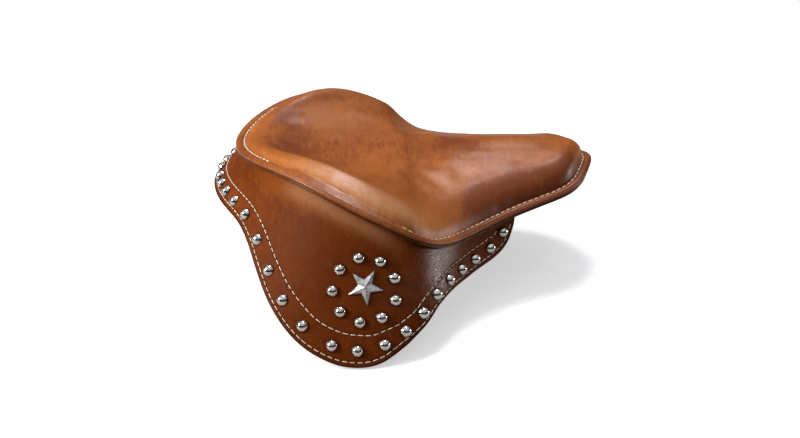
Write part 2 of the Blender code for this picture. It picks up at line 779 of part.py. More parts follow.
def build_foot():
    """The piece that stays on the motorcycle's frame while the seat swings about the pin."""
    bm = bmesh.new()
    half_x, half_y = FOOT_HALF
    bottom = -PIVOT_HEIGHT
    add_box(bm, (-half_x, -half_y, bottom), (half_x, half_y, bottom + FOOT_THICK))
    foot = place_part("nose_foot", bm, (0.06, 0.06, 0.065), 0.4, 0.3)
    web = bmesh.new()
    add_box(web, (-12, -6.5, bottom + FOOT_THICK / 2), (12, 6.5, 0))
    boolean(foot, place_tool("foot_web", web), "UNION")
    barrel = bmesh.new()
    add_cylinder(barrel, BARREL_RADIUS, -EAR_INNER + 0.4, EAR_INNER - 0.4, PIN_SIDES, along_x())
    boolean(foot, place_tool("foot_barrel", barrel), "UNION")
    holes = bmesh.new()
    add_cylinder(holes, BUSH_RADIUS + 0.1, -30, 30, PIN_SIDES, along_x())
    for y in (FOOT_HOLE_Y, -FOOT_HOLE_Y):
        add_cylinder(holes, FOOT_HOLE_RADIUS, -30, -5, 12, Matrix.Translation(Vector((0, y, 0)) * MM))
    boolean(foot, place_tool("foot_holes", holes), "DIFFERENCE")


def build_tube(name, inner, outer, low, high, sides, matrix, look, location=(0, 0, 0), hole_sides=PIN_SIDES):
    bm = bmesh.new()
    add_cylinder(bm, outer, low, high, sides, matrix)
    tube = place_part(name, bm, *look, location)
    hole = bmesh.new()
    add_cylinder(hole, inner, low - 5, high + 5, hole_sides, matrix)
    boolean(tube, place_tool(name + "_bore", hole, location), "DIFFERENCE")


def build_pin():
    reach = EAR_INNER + EAR_THICK
    bm = bmesh.new()
    profile = [(0, -reach - 4), (7, -reach - 4), (8, -reach - 3), (8, -reach - 0.4),
               (PIN_RADIUS, -reach - 0.4),
               (PIN_RADIUS, reach + 3.4), (PIN_RADIUS - 1, reach + 4.4), (0, reach + 4.4)]
    add_turned(bm, profile, PIN_SIDES, along_x())
    place_part("pivot_pin", bm, ZINC, 0.3, 1.0)
    build_tube("pivot_ring", PIN_RADIUS + 0.2, 8, reach + 0.5, reach + 2.2, 16, along_x(), (ZINC, 0.3, 1.0))
    bronze = ((0.55, 0.36, 0.16), 0.35, 1.0)
    build_tube("pivot_bush", PIN_RADIUS + 0.06, BUSH_RADIUS, -EAR_INNER + 0.5, EAR_INNER - 0.5, PIN_SIDES,
               along_x(), bronze)


def build_carriage_bolt(name, x, y, radius, head, end):
    """Low round head on the pan's floor, shank down through the pan."""
    bm = bmesh.new()
    seat = PAN_UNDERSIDE + PAN_STEEL + GAP
    profile = [(0, end), (radius - 0.8, end), (radius, end + 0.8), (radius, seat), (head, seat),
               (head * 0.8, seat + 2), (0, seat + 2.8)]
    add_turned(bm, profile, 12)
    place_part(name, bm, ZINC, 0.35, 1.0, (x, y, 0))


def build_nut(name, x, y, top, radius, across, height):
    build_tube(name, radius + 0.25, across, -height, 0, 6, Matrix(), (ZINC, 0.35, 1.0), (x, y, top), 12)


def build_hinge_fasteners():
    under = PAN_UNDERSIDE - PLATE_THICK - CLEVIS_THICK - 3 * GAP
    for name, y in (("front", -CLEVIS_BOLT_Y), ("rear", CLEVIS_BOLT_Y)):
        build_carriage_bolt("clevis_bolt_" + name, 0, y, CLEVIS_BOLT_RADIUS, 8, 8.5)
        build_nut("clevis_nut_" + name, 0, y, under, CLEVIS_BOLT_RADIUS, 7.5, 6.5)


# ---------------------------------------------------------------- rear spring perch


def build_perch():
    top = PAN_UNDERSIDE - GAP
    half_x, half_y = BAR_HALF
    bm = bmesh.new()
    add_box(bm, (-half_x, BAR_Y - half_y, top - BAR_THICK), (half_x, BAR_Y + half_y, top))
    bmesh.ops.bevel(bm, geom=[e for e in bm.edges if abs((e.verts[0].co - e.verts[1].co).z) > 0.001],
                    offset=8 * MM, segments=3, profile=0.5, affect="EDGES")
    bar = place_part("rear_crossbar", bm, (0.06, 0.06, 0.065), 0.4, 0.3)
    pad = bmesh.new()
    pad_x, pad_y, pad_height = PERCH_PAD
    low = top - BAR_THICK - pad_height
    add_box(pad, (-pad_x, BAR_Y - pad_y, low), (pad_x, BAR_Y + pad_y, low + pad_height + 2))
    boolean(bar, place_tool("bar_pad", pad), "UNION")
    holes = bmesh.new()
    add_bolt_holes(holes)
    boolean(bar, place_tool("bar_holes", holes), "DIFFERENCE")
    washer_top = top - BAR_THICK - GAP
    for name, side in (("right", RIGHT), ("left", LEFT)):
        x = side * STUD_X
        build_carriage_bolt("spring_stud_" + name, x, BAR_Y, STUD_RADIUS, 10, STUD_END)
        build_tube("stud_washer_" + name, STUD_RADIUS + 0.3, 10, -2, 0, 16, Matrix(), (ZINC, 0.35, 1.0),
                   (x, BAR_Y, washer_top), 12)
        build_nut("stud_nut_" + name, x, BAR_Y, washer_top - 2 - GAP, STUD_RADIUS, 9.5, 8)


def hang_on_pivot():
    """One empty at the hinge pin carries every piece and every cutter."""
    pivot = bpy.data.objects.new("nose_pivot_centre", None)
    PARTS.objects.link(pivot)
    pivot.location = (0, 0, PIVOT_HEIGHT * MM)
    for obj in list(PARTS.objects) + list(CUTTERS.objects):
        if obj is not pivot:
            obj.parent = pivot


clear_scene()
PARTS = make_collection("western_solo_saddle")
CUTTERS = make_collection("cutters")
STATIONS = rim_stations()

build_cover()
build_binding()
build_foam()
build_pan()
build_skirt()
build_lining()
for label, which in (("right", RIGHT), ("left", LEFT)):
    build_spots("border_spots_" + label, spot_places(which), closed=False)
    build_spots("ring_spots_" + label, ring_places(which), closed=True)
    build_star("star_concho_" + label, which)
    build_star_nut("concho_nut_" + label, which)
    build_rivet_strip("skirt_rivet_strip_" + label, which)
build_nose_plate()
build_clevis()
build_foot()
build_pin()
build_hinge_fasteners()
build_perch()
hang_on_pivot()
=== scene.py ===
import json
import math

import bmesh
import bpy
import numpy as np
from mathutils import Matrix, Vector, kdtree


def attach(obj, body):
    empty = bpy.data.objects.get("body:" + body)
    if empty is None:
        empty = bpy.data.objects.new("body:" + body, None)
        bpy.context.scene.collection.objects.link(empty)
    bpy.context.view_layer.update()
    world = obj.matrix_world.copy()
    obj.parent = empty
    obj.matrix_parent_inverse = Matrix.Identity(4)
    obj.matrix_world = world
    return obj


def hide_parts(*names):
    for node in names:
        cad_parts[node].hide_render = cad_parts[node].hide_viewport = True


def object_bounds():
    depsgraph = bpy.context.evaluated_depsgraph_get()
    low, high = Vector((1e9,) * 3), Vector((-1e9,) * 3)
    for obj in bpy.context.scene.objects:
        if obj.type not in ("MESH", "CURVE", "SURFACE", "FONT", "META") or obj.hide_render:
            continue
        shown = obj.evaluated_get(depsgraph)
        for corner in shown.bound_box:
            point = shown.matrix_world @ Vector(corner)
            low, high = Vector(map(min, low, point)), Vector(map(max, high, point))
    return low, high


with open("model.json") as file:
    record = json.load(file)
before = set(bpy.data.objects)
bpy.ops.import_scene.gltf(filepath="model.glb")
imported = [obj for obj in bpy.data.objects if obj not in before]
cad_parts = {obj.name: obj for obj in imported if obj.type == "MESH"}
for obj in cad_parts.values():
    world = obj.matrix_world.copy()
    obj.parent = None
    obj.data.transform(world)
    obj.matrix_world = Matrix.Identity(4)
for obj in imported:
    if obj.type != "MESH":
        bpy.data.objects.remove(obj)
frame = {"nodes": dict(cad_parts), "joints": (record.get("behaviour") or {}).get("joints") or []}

CAD_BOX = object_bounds()
MM = 0.001
PIVOT = np.array(frame["joints"][0]["pos_m"])      # the surfaces below are drawn from the hinge pin
BODY = "seat"
RIGHT, LEFT = -1, 1
UP = np.array([0.0, 0.0, 1.0])

# ---------- the seat's driving dimensions (mm)
# Tables by distance run along the half outline, from 0 at the rear centre to 551 at the nose.
RIM_CONTROL = [           # control points (x, y, z) of the half outline
    (0, 303, 60), (66, 283, 67), (122, 239, 73), (167, 192, 62), (185, 112, 25),
    (136, 80, 1), (81, 6, 12), (66, -57, 23), (27, -75, 32), (0, -88, 36),
]
SPANS = len(RIM_CONTROL) - 1
ROLL_HEIGHT = [           # height of the padding's crest above the rim, by distance
    (0, 5), (70, 5), (110, 7), (150, 10), (200, 13), (250, 18), (285, 25), (330, 27), (420, 28),
    (480, 23), (551, 17),
]
ROLL_INSET = [            # distance of the crest from the rim, by distance
    (0, 30), (110, 28), (150, 31), (200, 36), (250, 36), (285, 36), (330, 43), (420, 38), (480, 31),
    (551, 26),
]
TOP_LINE = [              # height of the seat's top on the centre line, by Y
    (-55, 52), (-25, 54.5), (10, 56), (50, 53.5), (90, 48), (130, 43), (170, 42), (205, 47), (235, 56),
    (262, 64),
]
PAN_LINE = [(-60, 31), (-42, 27), (176, 27), (205, 31), (235, 39), (262, 48)]   # the same of the pan
DISHED = [(0, 0.6), (120, 1), (270, 1), (330, 0.3), (400, 0), (551, 0)]   # how fast the top falls inside
FULLNESS = [(0, 0.3), (250, 0), (400, 0.3), (470, 1), (551, 1)]   # how round the wall is: 1 is fullest
CENTRE_Y, CENTRE_SHRINK = 110, 0.80
RIM_ROW = 9.0             # stitch row of the seat's edge, in from the rim
WALL_START = 10.6         # foot of the padded wall, in from the rim
STITCH = 7.0              # stitch pitch
FLANK_SLOPE = 3.4         # how far the flank's edge rises towards the wall
EDGE_UNDER = 4.35         # depth of the edge's underside
COVER_THICK = 2.6         # leather over the padding
UNDERSIDE = (13.0, 10.0, 7.0, 4.0)   # rows of the edge's underside, in from the rim
FLANGE_PROFILE = [        # the edge's upper face: in from the rim, height
    (2.1, 0.25), (2.9, 0.6), (3.9, 0.85), (5.0, 0.9), (6.1, 0.75), (7.1, 0.35), (7.9, -0.15),
    (8.5, -0.55), (RIM_ROW, -0.7), (9.5, -0.55), (10.1, -0.1),
]
PAD_OFFSET = 4.0          # padding's wall, in from the leather's
CREST_IN, CREST_DOWN = 0.5, 1.8      # padding's crest against the leather's, per millimetre of offset
PAD_COLUMNS, COVER_COLUMNS, BINDING_COLUMNS = 150, 560, 420
VOXEL, SWELL_CAP, CLOTH_FRAMES = 0.005, 4.5, 20      # cloth simulation: metres, millimetres, frames

SKIRT_INSET, SKIRT_DROP, SKIRT_START, SKIRT_LEATHER = 8.0, 7.0, 1.9, 3.2
SKIRT_FLARE = [(0, 42), (60, 40), (120, 35), (200, 31), (300, 26), (380, 21), (551, 15)]   # degrees
SKIRT_EDGE = [            # the lower edge: distance, depth
    (0, 50), (45, 52), (85, 58), (110, 70), (137, 93), (165, 117), (190, 134), (211, 139), (228, 135),
    (243, 124), (257, 104), (270, 82), (286, 57), (309, 43), (345, 36), (380, 32), (398, 25), (409, 12),
    (413, 3),
]
EDGE_SPANS = len(SKIRT_EDGE) - 1
EDGE_INSETS = [1.3, 1.9, 2.7, 3.5, 4.1, 4.7, 5.3, 5.9, 6.9, 8.2, 10.0]   # skirt's rows by its lower edge
EDGE_TURN = (60, 30, 0, -30, -60)    # rows round the lower edge (degrees)
UPPER_ROWS = 62           # skirt's rows above those by the edge
BORDER_WIDTH = [          # inner stitch row, in from the edge, by number of the edge's point
    (0, 21), (3, 23), (6, 28), (8.8, 28), (9.7, 24), (10.4, 19.5), (11.2, 17), (12, 17), (13, 18.5),
    (18, 20),
]
OUTER_ROW = 4.7           # outer stitch row, in from the edge
OUTER_END, INNER_END = 17.4, 16.9    # where the two rows end, as numbers of the edge's points
OUTER_SHIFT = 2.1         # the outer row's move outwards where the border is narrow
RIM_THREAD, OUTER_THREAD, INNER_THREAD = 0.45, 0.33, 0.34      # thread radii
RIM_LENGTH, SKIRT_LENGTH = 0.84, 0.86      # stitch lengths as shares of the pitch
SKIRT_SUNK = 0.20         # how deep the skirt's stitches sit
SEAM_DENT, SPOT_DENT, SPOT_DENT_REACH = 0.32, 0.35, 7.4
SPOT_HEIGHT, SPOT_SEAT, SPOT_SIDES = 4.6, 0.25, 36
SPOT_LINE = 0.52          # where the spots sit, as a share of the border's width
SPOT_START, SPOT_CLEAR = 10.0, 6     # first spot from the rear centre; least distance from the end
SPOT_PITCH = [22, 22.5, 25, 28.5, 34, 35, 32.5, 33, 32, 24.5, 26, 23, 24, 24, 24.5, 24.5, 22.5, 23.5, 23.5]
DOME = [                  # a spot's outline: radius, share of the height
    (0.0, 1.0), (0.9, 0.985), (1.8, 0.94), (2.7, 0.86), (3.5, 0.745), (4.2, 0.60), (4.8, 0.44),
    (5.25, 0.29), (5.6, 0.16), (5.85, 0.07), (6.0, 0.0), (5.9, -0.06), (5.4, -0.07), (1.5, -0.07),
    (1.5, -0.55), (1.1, -0.75), (0.0, -0.80),
]
LINING_LIFT, LINING_END, LINING_TOP, LINING_LEATHER = -5.6, 16.5, 7.0, 1.6
LINING_INSET, LINING_PAST = 1.6, 2.5     # in from the skirt's edge, and past the inner stitch row
RING_PLACE, RING_RADIUS, RING_SPOTS, RING_START = (229, 64), 29.5, 9, 6.0
STAR_PLACE = (229, 61)
STAR_RADIUS, STAR_WAIST, STAR_HEIGHT, STAR_TILT = 17.0, 0.40, 5.0, 6.5
STAR_FLOOR, STAR_RIM, STAR_SEAT, STAR_ARRIS = -0.2, 1.1, 0.35, 0.28

# ---------- curves


def climb(x, start, width):
    """0 up to start, then a straight climb to 1 over width."""
    return np.clip((x - start) / width, 0, 1)


def fall(x, end, width):
    """1, then a straight fall over width to 0 at end."""
    return np.clip((end - x) / width, 0, 1)


def bell(x, centre, width):
    return np.exp(-((x - centre) / width) ** 2)


def smoothstep(t):
    return t * t * (3 - 2 * t)


def interpolate(x, xs, table):
    """Rows of three values at places x, from a table whose rows lie at xs."""
    return np.stack([np.interp(x, xs, table[:, k]) for k in range(3)], -1)


def travel(path):
    """Distance travelled along a row of points."""
    return np.concatenate([[0], np.cumsum(np.linalg.norm(np.diff(path, axis=0), axis=1))])


def even_pitch(total):
    """Stitch pitch that divides a row of this length evenly."""
    return total / round(total / STITCH)


def follow(x, points):
    """Smooth curve through (x, value) points, for an array of x."""
    xs, ys = np.array(points, float).T
    slopes = np.gradient(ys, xs)
    x = np.clip(np.asarray(x, float), xs[0], xs[-1])
    k = np.clip(np.searchsorted(xs, x, side="right") - 1, 0, len(xs) - 2)
    width = xs[k + 1] - xs[k]
    t = (x - xs[k]) / width
    start = (2 * t ** 3 - 3 * t ** 2 + 1) * ys[k] + (t ** 3 - 2 * t ** 2 + t) * width * slopes[k]
    end = (3 * t ** 2 - 2 * t ** 3) * ys[k + 1] + (t ** 3 - t ** 2) * width * slopes[k + 1]
    return start + end


def outline_table():
    """Points, outward directions and distances of the half outline, finely stepped."""
    at = np.linspace(0, SPANS, 3601)
    mirror = np.array([-1.0, 1.0, 1.0])
    control = np.array(RIM_CONTROL, float)
    control = np.vstack([control[1] * mirror, control, control[-2] * mirror])
    first = np.minimum(at.astype(int), SPANS - 1)
    t = (at - first)[:, None]
    weights = [(1 - t) ** 3, 3 * t ** 3 - 6 * t ** 2 + 4, -3 * t ** 3 + 3 * t ** 2 + 3 * t + 1, t ** 3]
    points = sum(w * control[first + k] for k, w in enumerate(weights)) / 6
    tangent = np.gradient(points, axis=0)
    tangent[0], tangent[-1] = (1, 0, 0), (-1, 0, 0)
    outward = np.stack([-tangent[:, 1], tangent[:, 0], np.zeros(len(at))], 1)
    outward /= np.linalg.norm(outward, axis=1)[:, None]
    return points, outward, travel(points[:, :2])


RIM, RIM_OUT, RIM_S = outline_table()
LENGTH = RIM_S[-1]


def look_up(table, s):
    """Value of a half-outline table at signed distances; negative ones lie on the right side."""
    s = np.asarray(s, float)
    value = interpolate(np.abs(s), RIM_S, table)
    value[..., 0] *= np.where(s < 0, -1.0, 1.0)
    return value


def rim_at(s):
    """Points of the rim and their outward directions."""
    return look_up(RIM, s), look_up(RIM_OUT, s)


def all_round(columns):
    """Even signed distances round the whole outline."""
    return (np.arange(columns) + 0.5) * 2 * LENGTH / columns - LENGTH


def unit(v):
    return v / np.linalg.norm(v, axis=-1)[..., None]


def soften(table, sigma):
    """Gaussian blur of a half-outline table of vectors along the whole closed outline."""
    mirror = (-1, 1, 1)
    whole = np.vstack([table[::-1] * mirror, table[1:], table[-2::-1] * mirror])
    s = np.concatenate([-RIM_S[::-1], RIM_S[1:], 2 * LENGTH - RIM_S[-2::-1]])
    even = np.arange(-LENGTH, 2 * LENGTH, 1.0)
    values = interpolate(even, s, whole)
    reach = int(4 * sigma)
    kernel = np.exp(-0.5 * (np.arange(-reach, reach + 1) / sigma) ** 2)
    kernel /= kernel.sum()
    values = np.stack([np.convolve(values[:, k], kernel, mode="same") for k in range(3)], 1)
    out = interpolate(RIM_S, even, values)
    out[0, 0] = out[-1, 0] = 0
    return out


SOFT_OUT = unit(soften(RIM_OUT, 16.0))


def wave(s, depth):
    """Slow undulation of the hanging leather, out of its plane."""
    reach = np.clip(depth / 120.0, 0, 1.2) ** 1.4
    return reach * (1.1 * np.sin(s / 31.0 + 0.9) + 0.8 * np.sin(s / 17.0 - depth / 40.0 + 2.2))


def skirt_point(s, depth, lift=0.0):
    """Point of the skirt; lift is along its outer face."""
    s, depth, lift = np.broadcast_arrays(np.asarray(s, float), depth, lift)
    flare = np.radians(follow(np.abs(s), SKIRT_FLARE))[..., None]
    point, outward = rim_at(s)
    down = outward * np.sin(flare) - UP * np.cos(flare)
    face = outward * np.cos(flare) + UP * np.sin(flare)
    rise = (lift + wave(s, depth))[..., None]
    return point - outward * SKIRT_INSET - UP * SKIRT_DROP + down * depth[..., None] + face * rise


def skirt_frame(s, depth):
    """Outer normal, direction to the front and direction up the skirt."""
    s, depth = np.asarray(s, float), np.asarray(depth, float)
    side = np.where(s > 0, 1.0, -1.0)
    forward = unit(skirt_point(s + side * 0.5, depth) - skirt_point(s - side * 0.5, depth))
    up = skirt_point(s, depth - 0.5) - skirt_point(s, depth + 0.5)
    normal = unit(np.cross(forward, up) * -side[..., None])
    up = np.cross(normal, forward)
    up *= np.sign(up[..., 2:3])
    return normal, forward, up


def skirt_edge(at):
    """(distance, depth) of the lower edge for parameters from 0 (rear centre) to EDGE_SPANS."""
    at = np.asarray(at, float)
    points = np.array(SKIRT_EDGE, float)
    points = np.vstack([points[1] * (-1, 1), points, 2 * points[-1] - points[-2]])
    first = np.clip(at.astype(int), 0, EDGE_SPANS - 1)
    t = (at - first)[..., None]
    a, b, c, d = (points[first + k] for k in range(4))
    square, cube = 2 * a - 5 * b + 4 * c - d, 3 * b - a - 3 * c + d
    return 0.5 * (2 * b + (c - a) * t + square * t ** 2 + cube * t ** 3)


def walk(s, depth, direction, length, steps=6):
    """Moves over the skirt from each place along a fixed direction in space."""
    s, depth = np.array(s, float), np.array(depth, float)
    length = np.broadcast_to(length, s.shape) / steps
    for _ in range(steps):
        here = skirt_point(s, depth)
        by_s = (skirt_point(s + 0.25, depth) - here) / 0.25
        by_depth = (skirt_point(s, depth + 0.25) - here) / 0.25
        normal = unit(np.cross(by_s, by_depth))
        along = direction - normal * (direction * normal).sum(-1)[..., None]
        along = unit(along) * length[..., None]
        aa, bb = (by_s * by_s).sum(-1), (by_depth * by_depth).sum(-1)
        ab, ra, rb = (by_s * by_depth).sum(-1), (by_s * along).sum(-1), (by_depth * along).sum(-1)
        det = aa * bb - ab * ab
        s = s + (ra * bb - rb * ab) / det
        depth = depth + (rb * aa - ra * ab) / det
    return s, depth


def edge_frame(at, side):
    """Place of the lower edge, and the directions along it and inwards over the skirt."""
    at = np.asarray(at, float)
    here = skirt_edge(at)
    ahead, behind = skirt_edge(np.minimum(at + 0.02, EDGE_SPANS)), skirt_edge(np.maximum(at - 0.02, 0))
    along = skirt_point(side * ahead[..., 0], ahead[..., 1])
    along = along - skirt_point(side * behind[..., 0], behind[..., 1])
    along = np.where((at <= 0.02)[..., None], np.array([1.0, 0, 0]), along)
    along = unit(along)
    s = side * np.maximum(here[..., 0], 0.01)
    normal, forward, up = skirt_frame(s, here[..., 1])
    inward = np.cross(normal, along)
    inward *= np.sign((inward * up).sum(-1))[..., None]
    share = np.clip((at - (EDGE_SPANS - 3)) / 3, 0, 1)[..., None]
    return s, here[..., 1], along, unit(unit(inward) * (1 - share) - forward * share)


def from_edge(at, side, inset):
    s, depth, _, inward = edge_frame(at, side)
    return walk(s, depth, inward, inset)


def both_sides(steps, end=EDGE_SPANS):
    """Edge parameters and sides, from the right front end over the rear to the left one."""
    half = np.arange(0, end * steps + 1) / steps
    at = np.concatenate([half[::-1], half[1:]])
    side = np.concatenate([np.full(len(half), RIGHT), np.full(len(half) - 1, LEFT)])
    return at, side


def spot_places(side):
    """Places of one side's border spots, just inside the middle of the border."""
    fine = np.linspace(0, EDGE_SPANS, 400)
    s, depth = from_edge(fine, side, SPOT_LINE * follow(fine, BORDER_WIDTH))
    travelled = travel(skirt_point(s, depth))
    wanted = np.cumsum([SPOT_START] + SPOT_PITCH)
    pick = np.searchsorted(travelled, wanted[wanted < travelled[-1] - SPOT_CLEAR])
    return s[pick], depth[pick]


def ring_places(side):
    centre = (np.full(RING_SPOTS, side * RING_PLACE[0], float), np.full(RING_SPOTS, RING_PLACE[1], float))
    _, forward, up = skirt_frame(*centre)
    angle = np.radians(RING_START + 360 / RING_SPOTS * np.arange(RING_SPOTS))[:, None]
    return walk(*centre, up * np.cos(angle) + forward * np.sin(angle), RING_RADIUS)


# ---------- mesh helpers


def grid_faces(rows, columns, wrap_rows=False, wrap_columns=False):
    r = np.arange(rows if wrap_rows else rows - 1)[:, None]
    c = np.arange(columns if wrap_columns else columns - 1)[None, :]
    r2, c2 = (r + 1) % rows, (c + 1) % columns
    quads = np.stack([r * columns + c, r * columns + c2, r2 * columns + c2, r2 * columns + c], -1)
    return quads.reshape(-1, 4)


def place_object(name, data):
    obj = bpy.data.objects.new(name, data)
    bpy.context.scene.collection.objects.link(obj)
    return obj


def band_faces(rows, columns):
    """Faces of a closed band of rows, with a cap at either end."""
    ends = [[k * columns + end for k in range(rows)] for end in (0, columns - 1)]
    return grid_faces(rows, columns, wrap_rows=True).tolist() + ends


def add_piece(name, verts, faces, material, node=None, values=None, merge=0.0):
    """Makes a smooth piece from points in millimetres about the hinge pin, and rides it on the seat."""
    mesh = bpy.data.meshes.new(name)
    faces = faces.tolist() if isinstance(faces, np.ndarray) else faces
    mesh.from_pydata((verts * MM + PIVOT).tolist(), [], faces)
    for key, value in (values or {}).items():
        layer = mesh.attributes.new(key, "FLOAT", "POINT")
        layer.data.foreach_set("value", np.asarray(value, np.float32).ravel())
    bm = bmesh.new()
    bm.from_mesh(mesh)
    if merge:
        bmesh.ops.remove_doubles(bm, verts=bm.verts, dist=merge * MM)
        bmesh.ops.dissolve_degenerate(bm, dist=0.01 * MM, edges=bm.edges)
    bmesh.ops.recalc_face_normals(bm, faces=bm.faces)
    bm.to_mesh(mesh)
    bm.free()
    mesh.shade_smooth()
    mesh.materials.append(material)
    obj = place_object(name, mesh)
    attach(obj, BODY)
    if node:
        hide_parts(node)
    return obj


def grid_normals(points, wrap_columns=False):
    """Unit normals of a grid of points (rows, columns, 3)."""
    by_row = np.gradient(points, axis=0)
    if wrap_columns:
        by_column = np.roll(points, -1, axis=1) - np.roll(points, 1, axis=1)
    else:
        by_column = np.gradient(points, axis=1)
    normal = np.cross(by_row, by_column)
    length = np.linalg.norm(normal, axis=-1)
    return normal / np.maximum(length, 1e-9)[..., None]


def top_normals(rows):
    """Normals of the padded top's rows, upward at its middle."""
    normals = grid_normals(rows, True)
    return -normals if normals[-20, :, 2].mean() < 0 else normals


def sheet_normals(sheet):
    """Normals of a hanging sheet, away from the seat's middle."""
    normals = grid_normals(sheet)
    inward = ((sheet[5] - (0, CENTRE_Y, 0)) * normals[5]).sum() < 0
    return -normals if inward else normals


def smooth_noise(x, y, seed, scale):
    """Smooth value noise in -1..1 over two coordinates in millimetres."""
    rng = np.random.default_rng(seed)
    table = rng.uniform(-1, 1, (64, 64))
    u, v = np.asarray(x) / scale, np.asarray(y) / scale
    i, j = np.floor(u).astype(int), np.floor(v).astype(int)
    fu, fv = u - i, v - j
    fu, fv = smoothstep(fu), smoothstep(fv)
    a, b = table[i % 64, j % 64], table[(i + 1) % 64, j % 64]
    c, d = table[i % 64, (j + 1) % 64], table[(i + 1) % 64, (j + 1) % 64]
    return (a * (1 - fu) + b * fu) * (1 - fv) + (c * (1 - fu) + d * fu) * fv


# ---------- materials


MIX_A, MIX_B, MIX_OUT = 6, 7, 2      # the mix node's colour sockets
# pale tan of the painted highlight on the walls and under the seat's edge
PAINTED_HIGHLIGHT_TAN = (0.52, 0.275, 0.135)
# near black painted into the stitch holes as shade
HOLE_SHADE = (0.012, 0.005, 0.003)
WARM_SHEEN = (1.0, 0.62, 0.36)


class Shader:
    """A node material built by short calls."""

    def __init__(self, name):
        self.material = bpy.data.materials.new(name)
        self.material.use_nodes = True
        self.tree = self.material.node_tree
        self.bsdf = self.tree.nodes["Principled BSDF"]
        self.coords = self.node("TexCoord", "Object", {})

    def put(self, socket, value):
        if isinstance(value, bpy.types.NodeSocket):
            self.tree.links.new(value, socket)
        elif socket.type == "RGBA" and len(value) == 3:
            socket.default_value = (*value, 1.0)
        else:
            socket.default_value = value

    def set(self, **inputs):
        for key, value in inputs.items():
            self.put(self.bsdf.inputs[key.replace("_", " ")], value)

    def node(self, kind, output, inputs, **settings):
        """Makes a node with these settings and inputs; returns one of its outputs."""
        node = self.tree.nodes.new("ShaderNode" + kind)
        for key, value in settings.items():
            setattr(node, key, value)
        for key, value in inputs.items():
            self.put(node.inputs[key], value)
        return node.outputs[output]

    def math(self, operation, a, b=0.0):
        return self.node("Math", 0, {0: a, 1: b}, operation=operation)

    def noise(self, scale, detail, rough, coords=None):
        inputs = {"Vector": coords or self.coords, "Scale": scale, "Detail": detail, "Roughness": rough}
        return self.node("TexNoise", "Fac", inputs)

    def voronoi(self, scale, feature, coords):
        return self.node("TexVoronoi", "Distance", {"Vector": coords, "Scale": scale}, feature=feature)

    def stretched(self, x, y, z, turn):
        return self.node("Mapping", 0, {"Vector": self.coords, "Scale": (x, y, z), "Rotation": turn})

    def bent(self, scale, amount):
        """Coordinates pushed about by a noise, so that cells lose their regular look."""
        push = self.node("TexNoise", "Color", {"Vector": self.coords, "Scale": scale})
        terms = {0: push, 1: (amount,) * 3, 2: self.coords}
        return self.node("VectorMath", 0, terms, operation="MULTIPLY_ADD")

    def value(self, name):
        return self.node("Attribute", "Fac", {}, attribute_name=name)

    def ramp(self, factor, low, high, to_low=0.0, to_high=1.0):
        inputs = {"Value": factor, "From Min": low, "From Max": high, "To Min": to_low, "To Max": to_high}
        return self.node("MapRange", "Result", inputs, interpolation_type="SMOOTHSTEP")

    def mix(self, factor, a, b):
        return self.node("Mix", MIX_OUT, {"Factor": factor, MIX_A: a, MIX_B: b}, data_type="RGBA")

    def shade(self, colour, mask, weight, towards):
        """A colour taken towards another by a share of a mask."""
        return self.mix(self.math("MULTIPLY", mask, weight), colour, towards)

    def bump(self, height, strength, distance, onto=None):
        inputs = {"Strength": strength, "Distance": distance, "Height": height}
        if onto is not None:
            inputs["Normal"] = onto
        return self.node("Bump", 0, inputs)

    def sum(self, *terms):
        """Weighted sum of (socket, weight) pairs."""
        total = None
        for socket, weight in terms:
            part = self.math("MULTIPLY", socket, weight)
            total = part if total is None else self.math("ADD", total, part)
        return total


